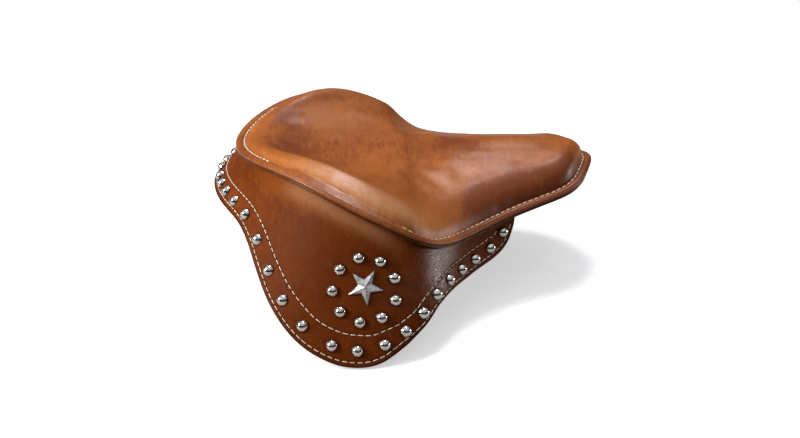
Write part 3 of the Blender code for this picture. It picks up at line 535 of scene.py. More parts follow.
def leather(name, light, middle, dark, rough, coat, grain, shine=0.2, seam=False, raw_edge=False):
    """Oiled leather: colour at four scales with painted shade and highlight from attributes, pores, nets of
    fine creases, seams darkened partly as burnish and partly as painted shade, stitch holes painted dark as
    shade, and burnished edges.
    """
    s = Shader(name)
    broad = s.noise(11.0, 3.0, 0.5, s.bent(6.0, 0.02))
    cloud = s.noise(48.0, 6.0, 0.62)
    fleck = s.noise(330.0, 4.0, 0.6)
    brushed = s.noise(60.0, 5.0, 0.6, s.stretched(1.0, 4.5, 2.0, (0.2, 0.1, 0.5)))
    # this attribute carries painted shade and painted highlight along with random colour variation
    tone_and_painted_light = s.value("tone_and_painted_light")
    level = s.sum((broad, 0.42), (cloud, 0.36), (fleck, 0.32), (brushed, 0.50), (tone_and_painted_light, 1.0))
    first = s.mix(s.ramp(level, 0.42, 0.82), dark, middle)
    colour = s.mix(s.ramp(level, 0.78, 1.22), first, light)
    # painted highlight: pale tan mixed in where the attribute says
    colour = s.mix(s.value("painted_highlight"), colour, PAINTED_HIGHLIGHT_TAN)
    net = s.voronoi(310.0, "DISTANCE_TO_EDGE", s.bent(90.0, 0.006))
    fine_net = s.voronoi(820.0, "DISTANCE_TO_EDGE", s.bent(200.0, 0.002))
    pores = s.voronoi(1500.0, "F1", s.bent(300.0, 0.001))
    crease = s.ramp(net, 0.0, 0.09, 1.0, 0.0)
    fine_crease = s.ramp(fine_net, 0.0, 0.14, 1.0, 0.0)
    colour = s.shade(colour, crease, 0.16 * grain, dark)
    colour = s.shade(colour, fine_crease, 0.10 * grain, dark)
    roughness = s.sum((cloud, 0.16), (fleck, 0.10), (crease, 0.08))
    roughness = s.math("ADD", roughness, rough - 0.13)
    soft = s.sum((s.noise(150.0, 4.0, 0.6), 0.9), (broad, 0.6))
    fine = s.sum((crease, -0.55), (fine_crease, -0.40), (s.ramp(pores, 0.0, 0.45), 0.35), (fleck, 0.8))
    normal = s.bump(soft, 0.25 * grain, 0.0012)
    normal = s.bump(fine, 0.32 * grain, 0.00035, normal)
    if seam:
        across, along = s.value("row_gap"), s.value("row_step")
        square = s.math("MULTIPLY", across, across)
        groove = s.math("EXPONENT", s.math("MULTIPLY", square, -0.9))
        close = s.math("EXPONENT", s.math("MULTIPLY", square, -2.6))
        gap = s.ramp(s.math("PINGPONG", along, 0.5), 0.04, 0.13, 1.0, 0.0)
        hole = s.math("MULTIPLY", close, gap)
        seam_burnish_and_shade = s.math("EXPONENT", s.math("MULTIPLY", square, -0.09))
        # darker along the stitch rows, partly as burnish and partly as painted shade in the groove; the
        # stitch holes painted near black as shade
        colour = s.shade(colour, seam_burnish_and_shade, 0.14, dark)
        colour = s.shade(colour, groove, 0.26, [0.35 * c for c in dark])
        colour = s.shade(colour, hole, 0.75, HOLE_SHADE)
        normal = s.bump(s.sum((groove, -0.35), (hole, -1.0)), 0.9, 0.0009, normal)
    if raw_edge:
        cut = s.ramp(s.value("edge"), 0.2, 1.8, 1.0, 0.0)
        colour = s.shade(colour, cut, 0.75, [0.45 * c for c in dark])
        roughness = s.math("SUBTRACT", roughness, s.math("MULTIPLY", cut, 0.12))
    polish = s.math("ADD", s.math("MULTIPLY", s.value("polish"), 0.9), coat)
    s.set(Base_Color=colour, Roughness=roughness, Normal=normal, Coat_Weight=polish, Coat_Roughness=0.22)
    s.set(Coat_Normal=normal, Specular_IOR_Level=shine, Specular_Tint=WARM_SHEEN)
    return s.material


def thread_material():
    s = Shader("waxed_cream_thread")
    ply = s.noise(1400.0, 2.0, 0.5, s.stretched(1.0, 0.4, 1.6, (0.5, 0.3, 0.8)))
    dirt = s.noise(40.0, 4.0, 0.6)
    colour = s.mix(s.ramp(dirt, 0.35, 0.7), (0.80, 0.68, 0.50), (0.93, 0.86, 0.72))
    colour = s.mix(s.ramp(ply, 0.3, 0.6, 0.22, 0.0), colour, (0.42, 0.30, 0.18))
    s.set(Base_Color=colour, Roughness=0.62, Normal=s.bump(ply, 0.7, 0.0003), Sheen_Weight=0.25)
    return s.material


def metal(name, bright, dull, rough, scale=160.0, scratch=0.25, metallic=1.0, relief=0.0002):
    """Plated or painted metal with clouded colour, uneven polish and fine scratches."""
    s = Shader(name)
    cloud = s.noise(scale, 4.0, 0.6)
    lines = s.noise(scale * 5, 3.0, 0.6, s.stretched(1.0, 9.0, 1.5, (0.4, 0.2, 0.9)))
    colour = s.mix(s.ramp(cloud, 0.35, 0.68), dull, bright)
    roughness = s.math("ADD", s.sum((cloud, 0.5 * rough), (lines, 0.5 * rough)), 0.5 * rough)
    normal = s.bump(s.sum((lines, 1.0), (cloud, 0.6)), scratch, relief)
    s.set(Base_Color=colour, Roughness=roughness, Metallic=metallic, Normal=normal)
    s.base = colour
    return s


def nickel_material():
    s = metal("polished_nickel", (0.78, 0.75, 0.69), (0.62, 0.59, 0.53), 0.045, 260.0, 0.03)
    # painted shade: the dome darkened round its foot, where it meets the leather
    foot = s.ramp(s.value("rise"), 0.03, 0.30, 1.0, 0.0)
    s.set(Base_Color=s.shade(s.base, foot, 0.85, (0.10, 0.075, 0.055)))
    return s.material


def pewter_material():
    s = metal("antique_pewter", (0.70, 0.70, 0.69), (0.46, 0.46, 0.46), 0.30, 300.0, 0.16, 1.0, 0.0003)
    speck = s.ramp(s.noise(900.0, 4.0, 0.7), 0.42, 0.62)
    low = s.math("MULTIPLY", s.ramp(s.value("rise"), 0.05, 0.75, 0.75, 0.0), speck)
    s.set(Base_Color=s.mix(low, s.base, (0.055, 0.052, 0.05)))
    return s.material


def foam_material():
    s = Shader("open_cell_foam")
    cells = s.voronoi(900.0, "F1", s.bent(200.0, 0.002))
    colour = s.mix(s.ramp(cells, 0.1, 0.6), (0.36, 0.31, 0.22), (0.62, 0.57, 0.44))
    s.set(Base_Color=colour, Roughness=0.9, Normal=s.bump(cells, 0.8, 0.0008))
    return s.material


COVER_LOOK = leather("saddle_leather_top", (0.42, 0.150, 0.032), (0.29, 0.083, 0.014), (0.150, 0.034, 0.007),
                     rough=0.36, coat=0.40, grain=0.8, shine=0.18, seam=True)
SKIRT_LOOK = leather("saddle_leather_skirt", (0.21, 0.050, 0.0060), (0.118, 0.023, 0.0030),
                     (0.055, 0.010, 0.0018), rough=0.52, coat=0.02, grain=1.0, shine=0.06, seam=True,
                     raw_edge=True)
BINDING_LOOK = leather("saddle_leather_binding", (0.28, 0.090, 0.018), (0.17, 0.046, 0.008),
                       (0.07, 0.016, 0.004), rough=0.40, coat=0.2, grain=0.7, raw_edge=True)
LINING_LOOK = leather("flesh_side_leather", (0.46, 0.27, 0.14), (0.36, 0.19, 0.09), (0.20, 0.09, 0.04),
                      rough=0.80, coat=0.0, grain=1.6)
THREAD = thread_material()
NICKEL = nickel_material()
PEWTER = pewter_material()
FOAM = foam_material()
ZINC = metal("zinc_plate", (0.62, 0.62, 0.58), (0.44, 0.43, 0.38), 0.30, 300.0, 0.25).material
BLACK = metal("black_powder_coat", (0.022, 0.022, 0.024), (0.012, 0.012, 0.013), 0.42, 1300.0, 0.6, 0.0,
              0.0003).material
PAN = metal("black_enamel_pan", (0.035, 0.034, 0.033), (0.016, 0.015, 0.015), 0.34, 60.0, 0.3, 0.0,
            0.0003).material
BRONZE = metal("oiled_bronze", (0.56, 0.36, 0.15), (0.34, 0.20, 0.08), 0.32, 500.0, 0.3).material


# ---------- padded top


def flank(s):
    """1 along the straight flanks, where the padding runs right out over the edge."""
    d = np.abs(s)
    return smoothstep(climb(d, 118, 30) * fall(d, 272, 34))


def wall_rise(share, s):
    """Rise of the padded wall for its share of the way in: steep at the foot, level at the crest."""
    full = follow(np.abs(s), FULLNESS)[:, None]
    padded = (1 - (1 - share) ** (1.7 + 0.3 * full)) ** (1 / (1.45 + 0.45 * full))
    straight = 1 - (1 - share) ** 1.55
    return padded + 0.8 * flank(s)[:, None] * (straight - padded)


def centre_of(crest, line, lower):
    y = CENTRE_Y + CENTRE_SHRINK * (crest[..., 1] - CENTRE_Y)
    return np.stack([np.zeros_like(y), y, follow(y, line) - lower], -1)


def top_rows(s, offset, wall_steps, inner_steps):
    """Rows of the padded top from the wall's foot over the crest to the centre line."""
    point, outward = rim_at(s)
    soft = look_up(SOFT_OUT, s)
    inset = follow(np.abs(s), ROLL_INSET)[:, None] + CREST_IN * offset
    height = follow(np.abs(s), ROLL_HEIGHT)[:, None]
    start = WALL_START + offset
    rows = []
    for share in np.linspace(0, 1, wall_steps) ** 1.35:
        turn = unit(outward * (1 - share) + soft * share)
        across = start + (inset - start) * share
        rise = wall_rise(share, s)
        foot = FLANK_SLOPE * flank(s)[:, None] * (1 - rise)
        rows.append(point - turn * across + UP * (height * rise + foot - CREST_DOWN * offset))
    crest = rows[-1]
    centre = centre_of(crest, TOP_LINE, CREST_DOWN * offset)
    dished = follow(np.abs(s), DISHED)
    for share in np.linspace(0, 1, inner_steps + 1)[1:]:
        blend = smoothstep(share)
        blend = blend + dished * (1 - (1 - share) ** 2.6 - blend)
        between = crest + (centre - crest) * share
        between[:, 2] = crest[:, 2] + (centre[:, 2] - crest[:, 2]) * blend
        rows.append(between)
    return np.array(rows)


def relax(rows, first, rounds):
    """Evens out the inner rows of the closed top, across the centre line too."""
    count = len(rows)
    hold = np.clip((np.arange(count) - first) / 6.0, 0, 1)[:, None, None]
    for _ in range(rounds):
        around = (np.roll(rows, 1, axis=1) + np.roll(rows, -1, axis=1)) / 2
        beyond = rows[-2, ::-1]
        above = np.concatenate([rows[:1], rows[:-1]])
        below = np.concatenate([rows[1:], beyond[None]])
        mean = 0.5 * around + 0.25 * (above + below)
        rows = rows + hold * 0.8 * (mean - rows)
        rows[-1, :, 0] = 0
    return rows


def pad_solid():
    """Closed padding between the pan and the leather, the shape the cloth simulation starts from."""
    s = all_round(PAD_COLUMNS)
    point, outward = rim_at(s)
    top = relax(top_rows(s, PAD_OFFSET, 7, 12), 6, 4)
    edge = point - outward * 20 - UP * 0.5
    centre = centre_of(edge, PAN_LINE, 0)
    bottom = [point - outward * 15.5 - UP * 0.8]
    for share in (0.0, 0.22, 0.45, 0.7, 1.0):
        between = edge + (centre - edge) * share
        rise = smoothstep(min(share / 0.45, 1.0))
        between[:, 2] = edge[:, 2] + (centre[:, 2] + 3.5 - edge[:, 2]) * rise
        bottom.append(between)
    rows = np.concatenate([np.array(bottom)[::-1], top])
    return rows.reshape(-1, 3), grid_faces(len(rows), PAD_COLUMNS, wrap_columns=True)


CLOTH = {
    "quality": 6, "mass": 0.25, "tension_stiffness": 22, "compression_stiffness": 22, "shear_stiffness": 8,
    "bending_stiffness": 2.5, "use_pressure": True, "uniform_pressure_force": 4, "vertex_group_mass": "held",
}


def pump_up(obj):
    """Voxel remesh, then cloth under pressure with the underside held; returns rest points and moves."""
    remesh = obj.modifiers.new("remesh", "REMESH")
    remesh.mode = "VOXEL"
    remesh.voxel_size = VOXEL
    bake_modifiers(obj)
    rest = read_points(obj.data)
    held = obj.vertex_groups.new(name="held")
    normals = np.zeros(rest.size)
    obj.data.vertices.foreach_get("normal", normals)
    lowered = normals.reshape(-1, 3)[:, 2] < -0.15
    held.add([int(k) for k in np.nonzero(lowered)[0]], 1.0, "REPLACE")
    cloth = obj.modifiers.new("cloth", "CLOTH")
    for key, value in CLOTH.items():
        setattr(cloth.settings, key, value)
    cloth.settings.effector_weights.gravity = 0
    cloth.collision_settings.use_collision = False
    cloth.point_cache.frame_start = 1
    cloth.point_cache.frame_end = CLOTH_FRAMES
    for number in range(1, CLOTH_FRAMES + 1):
        bpy.context.scene.frame_set(number)
    bake_modifiers(obj)
    bpy.context.scene.frame_set(1)
    move = read_points(obj.data) - rest
    length = np.linalg.norm(move, axis=1)
    move *= (np.minimum(length, SWELL_CAP) / np.maximum(length, 1e-9))[:, None]
    obj.data.vertices.foreach_set("co", ((rest + move) * MM + PIVOT).ravel())
    return rest, move


def read_points(mesh):
    points = np.zeros(len(mesh.vertices) * 3)
    mesh.vertices.foreach_get("co", points)
    return (points.reshape(-1, 3) - PIVOT) / MM


def bake_modifiers(obj):
    """Replaces an object's mesh by its evaluated one and drops its modifiers."""
    bpy.context.view_layer.update()
    graph = bpy.context.evaluated_depsgraph_get()
    made = bpy.data.meshes.new_from_object(obj.evaluated_get(graph), depsgraph=graph)
    obj.modifiers.clear()
    old = obj.data
    obj.data = made
    bpy.data.meshes.remove(old)


def spread_move(points, rest, move, width=9.0):
    """The simulated movement at other points, as a weighted mean of the near simulated ones."""
    tree = kdtree.KDTree(len(rest))
    for k, p in enumerate(rest):
        tree.insert(p, k)
    tree.balance()
    out = np.zeros_like(points)
    for k, p in enumerate(points):
        near = tree.find_n(p, 14)
        index = [n[1] for n in near]
        weight = np.exp(-(np.array([n[2] for n in near]) / width) ** 2) + 1e-9
        out[k] = (move[index] * weight[:, None]).sum(0) / weight.sum()
    return out


def build_pad():
    verts, faces = pad_solid()
    pad = add_piece("foam_core", verts, faces, FOAM, "foam_pad", merge=0.02)
    rest, move = pump_up(pad)
    pad.data.shade_smooth()
    if not pad.data.materials:
        pad.data.materials.append(FOAM)
    soft = pad.modifiers.new("subdivision", "SUBSURF")
    soft.levels = soft.render_levels = 1
    return rest, move


def edge_rows(s, pucker):
    """Rows of the leather's flat edge: its underside, the round lip, then in over the stitch row."""
    point, outward = rim_at(s)
    rows = [point - outward * inset - UP * EDGE_UNDER for inset in UNDERSIDE]
    for angle in np.radians(np.linspace(-90, 90, 9)):
        rows.append(point - outward * (2.3 - 2.3 * math.cos(angle)) + UP * (2.25 * math.sin(angle) - 2.1))
    for inset, rise in FLANGE_PROFILE:
        ripple = 0.22 * pucker * bell(inset, RIM_ROW, 3.0)
        sloped = 0.25 + FLANK_SLOPE * (inset - 2.1) / 8.0
        level = rise + flank(s) * (sloped - rise)
        rows.append(point - outward * inset + UP * (level + ripple)[:, None])
    return np.array(rows)


def swollen(top, rest, move):
    """The simulated movement of the padded top, held back at the wall's foot."""
    lifted = spread_move(top.reshape(-1, 3), rest, move).reshape(top.shape)
    hold = np.clip(np.arange(len(top)) / 14.0, 0, 1)[:, None, None]
    return relax_values(lifted * hold, 3)


def build_cover(rest, move):
    """The leather top with its flat edge and its inner face; returns the stitch row and its normals."""
    s = all_round(COVER_COLUMNS)
    pucker = smooth_noise(s, 0, 5, 9.0) + 0.6 * smooth_noise(s, 40, 6, 21.0)
    edge = edge_rows(s, pucker)
    top = relax(top_rows(s, 0.0, 26, 44), 20, 26)
    rows = np.concatenate([edge, top])
    first_top = len(edge)
    place = np.arange(len(top))[:, None]
    fade = np.exp(-place / 9.0) * np.clip(place / 3.0, 0, 1)
    normals = top_normals(rows)
    if rest is not None:
        rows[first_top:] += swollen(top, rest, move)
    rows[first_top:] += normals[first_top:] * (fade * 0.55 * pucker)[..., None]
    rows = smooth_band(rows, first_top - 3, first_top + 8, 3)
    normals = top_normals(rows)
    inner_index = list(range(first_top + 1, len(rows), 3)) + [len(rows) - 1]
    inner = rows[inner_index] - normals[inner_index] * COVER_THICK
    inner[-1, :, 0] = 0
    back = np.concatenate([rows[:1], inner])
    faces = grid_faces(len(rows), COVER_COLUMNS, wrap_columns=True)
    back_faces = grid_faces(len(back), COVER_COLUMNS, wrap_columns=True) + rows[..., 0].size
    values = cover_values(rows, s, first_top)
    for key, fill in (("row_gap", 9.0), ("row_step", 0.0), ("tone_and_painted_light", -0.1), ("painted_highlight", 0.0)):
        values[key] = np.concatenate([values[key].ravel(), np.full(back[..., 0].size, fill)])
    add_piece("seat_leather_top", np.vstack([rows.reshape(-1, 3), back.reshape(-1, 3)]),
              np.vstack([faces, back_faces]), COVER_LOOK, "seat_cover", values, merge=0.004)
    stitched = first_top - len(FLANGE_PROFILE) + [inset for inset, _ in FLANGE_PROFILE].index(RIM_ROW)
    return rows[stitched], normals[stitched]


def cover_values(rows, s, first_top):
    """Attributes of the leather top's outer rows for its material."""
    flange = [inset for inset, _ in FLANGE_PROFILE]
    lower = [RIM_ROW + 9.0] * (first_top - len(flange))
    wall = WALL_START + 1.5 * np.arange(len(rows) - first_top)
    gap = np.abs(np.concatenate([lower, flange, wall]) - RIM_ROW)[:, None]
    travelled = travel(look_up(RIM, s) - look_up(RIM_OUT, s) * RIM_ROW)
    step = np.repeat((travelled / even_pitch(travelled[-1]))[None, :], len(rows), 0)
    # the last two carry painted light: painted shade and highlight mixed with random colour variation, and a
    # painted highlight on the walls
    return {"row_gap": gap + 6.0 * np.clip(buried(s), 0, 1), "row_step": step,
            "tone_and_painted_light": cover_tone_and_painted_light(rows, s, first_top), "painted_highlight": wall_painted_highlight(rows, s, first_top)}


def relax_values(values, rounds):
    for _ in range(rounds):
        around = (np.roll(values, 1, axis=1) + np.roll(values, -1, axis=1)) / 2
        above = np.concatenate([values[:1], values[:-1]])
        below = np.concatenate([values[1:], values[-1:]])
        values = 0.4 * values + 0.3 * around + 0.15 * (above + below)
    return values


def smooth_band(rows, first, last, rounds):
    """Rounds the fold where the flat edge turns up into the padded wall."""
    for _ in range(rounds):
        mean = (rows[first - 1:last - 1] + rows[first + 1:last + 1]) / 2
        rows[first:last] += 0.5 * (mean - rows[first:last])
    return rows


def wall_painted_highlight(rows, s, first_top):
    """Painted highlight: a pale band on the padded walls of the flanks."""
    band = bell((np.arange(len(rows)) - first_top)[:, None], 11, 9.0)
    d = np.abs(s)[None, :]
    along = climb(d, 118, 40) * fall(d, 330, 60)
    patchy = 0.75 + 0.25 * smooth_noise(rows[..., 0] + 400, rows[..., 1] + 300, 51, 17.0)
    return 0.50 * band * along * patchy


def cover_tone_and_painted_light(rows, s, first_top):
    """Painted light in the leather top's colour: painted shade in the hollows and on the nose, a painted
    highlight on the wall, darker over the flat edge, with random colour variation.
    """
    x, y = rows[..., 0], rows[..., 1]
    d = np.abs(s)[None, :]
    place = (np.arange(len(rows)) - first_top)[:, None]
    share = np.clip(place / (len(rows) - first_top), 0, 1)
    edge = -0.20 * np.clip(-place / 2.0, 0, 1)
    # painted highlight: the wall made paler
    wall = 0.20 * bell(share, 0.10, 0.12)
    # painted shade: the hollow, the sides and middle of the nose, and the rear of the hollow made darker
    bowl = -0.10 * bell(y, 150, 70) * climb(share, 0.4, 0.3)
    nose = -0.50 * climb(d, 325, 40) * fall(d, 540, 40) * bell(share, 0.10, 0.22)
    middle = -0.26 * bell(y, 72, 34) * bell(x, 0, 36)
    rear = -0.20 * bell(y, 240, 22) * climb(share, 0.25, 0.2)
    cloud = 0.10 * smooth_noise(x + 400, y + 300, 11, 42.0)
    return -0.06 + edge + wall + bowl + nose + middle + rear + cloud


# ---------- stitches


def buried(s):
    """How deep the edge's stitches sink: below the leather along the straight flanks."""
    s = np.abs(s)
    deep = climb(s, 92, 14) * fall(s, 266, 22)
    return deep * (1.15 + 0.45 * smooth_noise(s, 0, 15, 11.0))


def build_stitches(name, path, normals, radius, length, closed=False):
    """Separate thread stitches along a path: each dips into the leather at both ends."""
    if closed:
        path, normals = np.vstack([path, path[:1]]), np.vstack([normals, normals[:1]])
    travelled = travel(path)
    pitch = even_pitch(travelled[-1])
    rng = np.random.default_rng(len(name))
    rings, sides = 9, 8
    turn = np.linspace(0, 2 * math.pi, sides, endpoint=False)
    u = np.linspace(-1, 1, rings)
    lift = radius * (0.62 - 1.75 * np.abs(u) ** 3.2)
    thick = (radius * np.sqrt(np.clip(1 - np.abs(u) ** 5, 0.08, 1)))[:, None, None]
    verts, faces = [], []
    for k in range(round(travelled[-1] / pitch)):
        half = 0.5 * length * pitch * rng.uniform(0.94, 1.04)
        middle = (k + 0.5) * pitch + rng.uniform(-0.12, 0.12)
        slant = rng.uniform(-0.18, 0.30)
        at = middle + u * half
        here = interpolate(at, travelled, path)
        up = unit(interpolate(at, travelled, normals))
        along = unit(np.gradient(here, axis=0))
        across = unit(np.cross(up, along))
        here = here + up * lift[:, None] + across * (u * slant * radius)[:, None]
        ring = (here[:, None] + across[:, None] * (np.cos(turn)[None, :, None] * thick * 1.12)
                + up[:, None] * (np.sin(turn)[None, :, None] * thick * 0.9))
        base = k * rings * sides
        verts.append(ring.reshape(-1, 3))
        faces += (grid_faces(rings, sides, wrap_columns=True) + base).tolist()
        faces.append([base + j for j in range(sides)])
        faces.append([base + (rings - 1) * sides + j for j in range(sides)][::-1])
    add_piece(name, np.vstack(verts), faces, THREAD)


# ---------- binding under the edge


def build_binding():
    s = all_round(BINDING_COLUMNS)
    point, outward = rim_at(s)
    profile = [(10.5, -4.75), (7.0, -4.7), (3.5, -4.65)]
    for angle in np.radians(np.linspace(90, -90, 9)):
        profile.append((1.9 - 1.15 * math.cos(angle), -5.85 + 1.2 * math.sin(angle)))
    profile += [(3.5, -7.05), (7.0, -7.05), (10.5, -7.0)]
    wobble = 0.18 * smooth_noise(s, 0, 8, 14.0)[:, None]
    rows = np.array([point - outward * (inset + wobble) + UP * rise for inset, rise in profile])
    edge = np.abs(np.arange(len(profile)) - len(profile) // 2) * 0.35
    values = {"edge": np.repeat(edge[:, None], len(s), 1), "tone_and_painted_light": np.zeros(rows.shape[:2])}
    faces = grid_faces(len(rows), len(s), wrap_rows=True, wrap_columns=True)
    add_piece("rim_binding_leather", rows.reshape(-1, 3), faces, BINDING_LOOK,
              "rim_binding", values)


# ---------- skirt


def nearest_on(paths, points):
    """Distance to the nearest of several finely stepped paths and the distance travelled along it."""
    tree = kdtree.KDTree(sum(len(p) for p, _ in paths))
    marks = []
    for path, travelled in paths:
        for p, t in zip(path, travelled):
            tree.insert(p, len(marks))
            marks.append(t)
    tree.balance()
    gap, mark = np.zeros(len(points)), np.zeros(len(points))
    for k, p in enumerate(points):
        _, index, distance = tree.find(p)
        gap[k], mark[k] = distance, marks[index]
    return gap, mark


def outer_inset(at):
    """The outer row keeps clear of the spots where the border narrows."""
    return OUTER_ROW - OUTER_SHIFT * fall(follow(at, BORDER_WIDTH), 21, 4)


def stitch_row(inset_of, end):
    """Path and normals of a stitch row on the skirt, from the right front end to the left one."""
    at, side = both_sides(60, end)
    s, depth = from_edge(at, side, inset_of(at))
    depth = np.maximum(depth, SKIRT_START + 0.6)
    normal, _, _ = skirt_frame(s, depth)
    return skirt_point(s, depth), normal


def even_path(path, step=0.6):
    """A finely and evenly stepped copy of a path, and the distance travelled at each step."""
    travelled = travel(path)
    even = np.linspace(0, travelled[-1], int(travelled[-1] / step))
    return interpolate(even, travelled, path), even


def skirt_depths(s, depth, along):
    """Depths of the skirt's rows: close together by the lower edge, then even up to the top."""
    down = unit(skirt_point(s, depth + 0.5) - skirt_point(s, depth - 0.5))
    steep = np.maximum(np.linalg.norm(np.cross(along, down), axis=1), 0.25)
    total = len(EDGE_INSETS) + UPPER_ROWS
    room = depth - SKIRT_START
    near = [np.minimum(inset / steep, room * (k + 1) / total) for k, inset in enumerate(EDGE_INSETS)]
    upper = [near[-1] + (room - near[-1]) * ((k + 1) / UPPER_ROWS) for k in range(UPPER_ROWS)]
    return depth - np.array(near + upper)


def dents(face, gap, spots):
    """How far the stitch rows and the spots press the leather in."""
    dent = SEAM_DENT * bell(gap, 0, 1.0)
    for spot in spots:
        away = np.linalg.norm(face - spot, axis=1)
        dent += SPOT_DENT * np.exp(-(away / SPOT_DENT_REACH) ** 6)
    return dent


def build_skirt(rows_of_stitches, spots):
    at, side = both_sides(24)
    s, depth, along, inward = edge_frame(at, side)
    normal, _, _ = skirt_frame(s, depth)
    depths = skirt_depths(s, depth, along)
    outer = skirt_point(s, depths)
    shape = lo, columns = depths.shape
    half = SKIRT_LEATHER / 2
    rim = skirt_point(s, depths[0], -half)
    turned = [rim - inward * (EDGE_INSETS[0] * math.cos(angle)) + normal * (half * math.sin(angle))
              for angle in np.radians(EDGE_TURN)]
    inner_pick = [0, 2, 4, 6, 8, 10] + list(range(14, lo, 4)) + [lo - 1]
    inner = skirt_point(s, depths[inner_pick], -SKIRT_LEATHER)

    gap, mark = nearest_on(rows_of_stitches, outer.reshape(-1, 3))
    dent = dents(outer.reshape(-1, 3), gap, spots).reshape(shape)
    x, y = s + 700, depths + 50
    ripple = 0.28 * smooth_noise(x, y, 21, 26.0) + 0.12 * smooth_noise(x, y, 22, 9.0)
    outer = outer + sheet_normals(outer) * (ripple - dent)[..., None]
    stack = np.concatenate([outer[::-1], np.array(turned), inner])

    def laid_out(value, elsewhere=0.0):
        """A value of the outer rows, and one number for all the others."""
        whole = np.full(stack.shape[:2], elsewhere)
        whole[:lo] = value.reshape(shape)[::-1]
        return whole

    edge_gap, _ = nearest_on([even_path(skirt_point(s, depth - 0.2, -half))], outer.reshape(-1, 3))
    edge = laid_out(np.maximum(edge_gap - 1.3, 0), 9.0)
    edge[lo:lo + len(turned)] = 0
    edge[lo + len(turned)] = 0.6
    d = np.abs(s)
    polish = bell(d + 0.875 * depths, 314, 20.0) * fall(depths, 78, 40)
    # painted highlight: a pale band just under the seat's edge along the flanks
    painted_highlight = 0.34 * bell(depths, 9, 8.0) * flank(s) * (0.8 + 0.2 * smooth_noise(x, y, 52, 15.0))
    values = {"edge": edge, "row_gap": laid_out(gap, 9.0), "row_step": laid_out(mark),
              "tone_and_painted_light": laid_out(skirt_tone_and_painted_light(d, depths)), "polish": laid_out(polish), "painted_highlight": laid_out(painted_highlight)}
    add_piece("skirt_leather", stack.reshape(-1, 3), band_faces(len(stack), columns), SKIRT_LOOK,
              "skirt_panel", values)


def skirt_tone_and_painted_light(d, depths):
    """Painted light in the skirt's colour: paler at the top of the rear and darker down it, a painted
    highlight under the seat's edge, with random colour variation.
    """
    # painted light: paler at the top of the rear, darker towards the bottom
    rear = 0.20 * np.exp(-depths / 45.0) * np.clip(1.25 - d / 240.0, 0, 1)
    # painted highlight: a pale band just under the seat's edge
    under_edge = 0.30 * bell(depths, 8, 13.0) * climb(d, 60, 60) * fall(d, 285, 40)
    return rear + under_edge + 0.08 * smooth_noise(d, depths, 31, 38.0) - 0.02


def build_lining():
    at, side = both_sides(16, LINING_END)
    width = follow(at, BORDER_WIDTH) + LINING_PAST - LINING_INSET
    rows = []
    for share in np.linspace(0, 1, 14):
        s, depth = from_edge(at, side, LINING_INSET + width * share)
        rows.append(skirt_point(s, np.maximum(depth, LINING_TOP), LINING_LIFT + 0.25 * math.sin(7 * share)))
    front = np.array(rows)
    back = front - sheet_normals(front) * LINING_LEATHER
    stack = np.concatenate([front, back[::-1]])
    add_piece("skirt_lining_leather", stack.reshape(-1, 3), band_faces(len(stack), len(at)), LINING_LOOK,
              "skirt_lining", {"tone_and_painted_light": np.zeros(stack.shape[:2])})


# ---------- metal on the skirt


def place_matrices(s, depth):
    normal, _, up = skirt_frame(s, depth)
    up = unit(up - normal * (up * normal).sum(-1)[..., None])
    across = np.cross(up, normal)
    return skirt_point(s, depth), np.stack([across, up, normal], -1)


def turned_shape(profile, sides):
    """Points and faces of a shape turned round Z from (radius, height) points, closed on the axis."""
    angle = np.linspace(0, 2 * math.pi, sides, endpoint=False)
    points = [[(0, 0, profile[0][1])]]
    for radius, height in profile[1:-1]:
        points.append(np.stack([radius * np.cos(angle), radius * np.sin(angle), np.full(sides, height)], 1))
    points.append([(0, 0, profile[-1][1])])
    rings = len(profile) - 2
    last = 1 + (rings - 1) * sides
    faces = (grid_faces(rings, sides, wrap_columns=True) + 1).tolist()
    for k in range(sides):
        n = (k + 1) % sides
        faces.append([0, 1 + k, 1 + n])
        faces.append([last + n, last + k, last + sides])
    return np.vstack(points), faces


def build_spots(name, s, depth, node):
    """Domed spots with a thin turned foot and a shank behind the leather, each leaning a little."""
    origin, axes = place_matrices(s, depth)
    shape, shape_faces = turned_shape(DOME, SPOT_SIDES)
    local = shape * (1, 1, SPOT_HEIGHT) + (0, 0, SPOT_SEAT)
    rng = np.random.default_rng(len(name))
    verts, faces = [], []
    for k, (place, turned) in enumerate(zip(origin, axes)):
        lean_x, lean_y = (Matrix.Rotation(rng.uniform(-0.05, 0.05), 3, axis) for axis in "XY")
        verts.append(place + local @ (turned @ np.array(lean_x @ lean_y)).T)
        faces += [[index + k * len(local) for index in face] for face in shape_faces]
    rise = np.tile(np.maximum(shape[:, 2], 0), len(origin))
    obj = add_piece(name, np.vstack(verts), faces, NICKEL, node, {"rise": rise})
    obj.data.set_sharp_from_angle(angle=math.radians(50))
    return origin


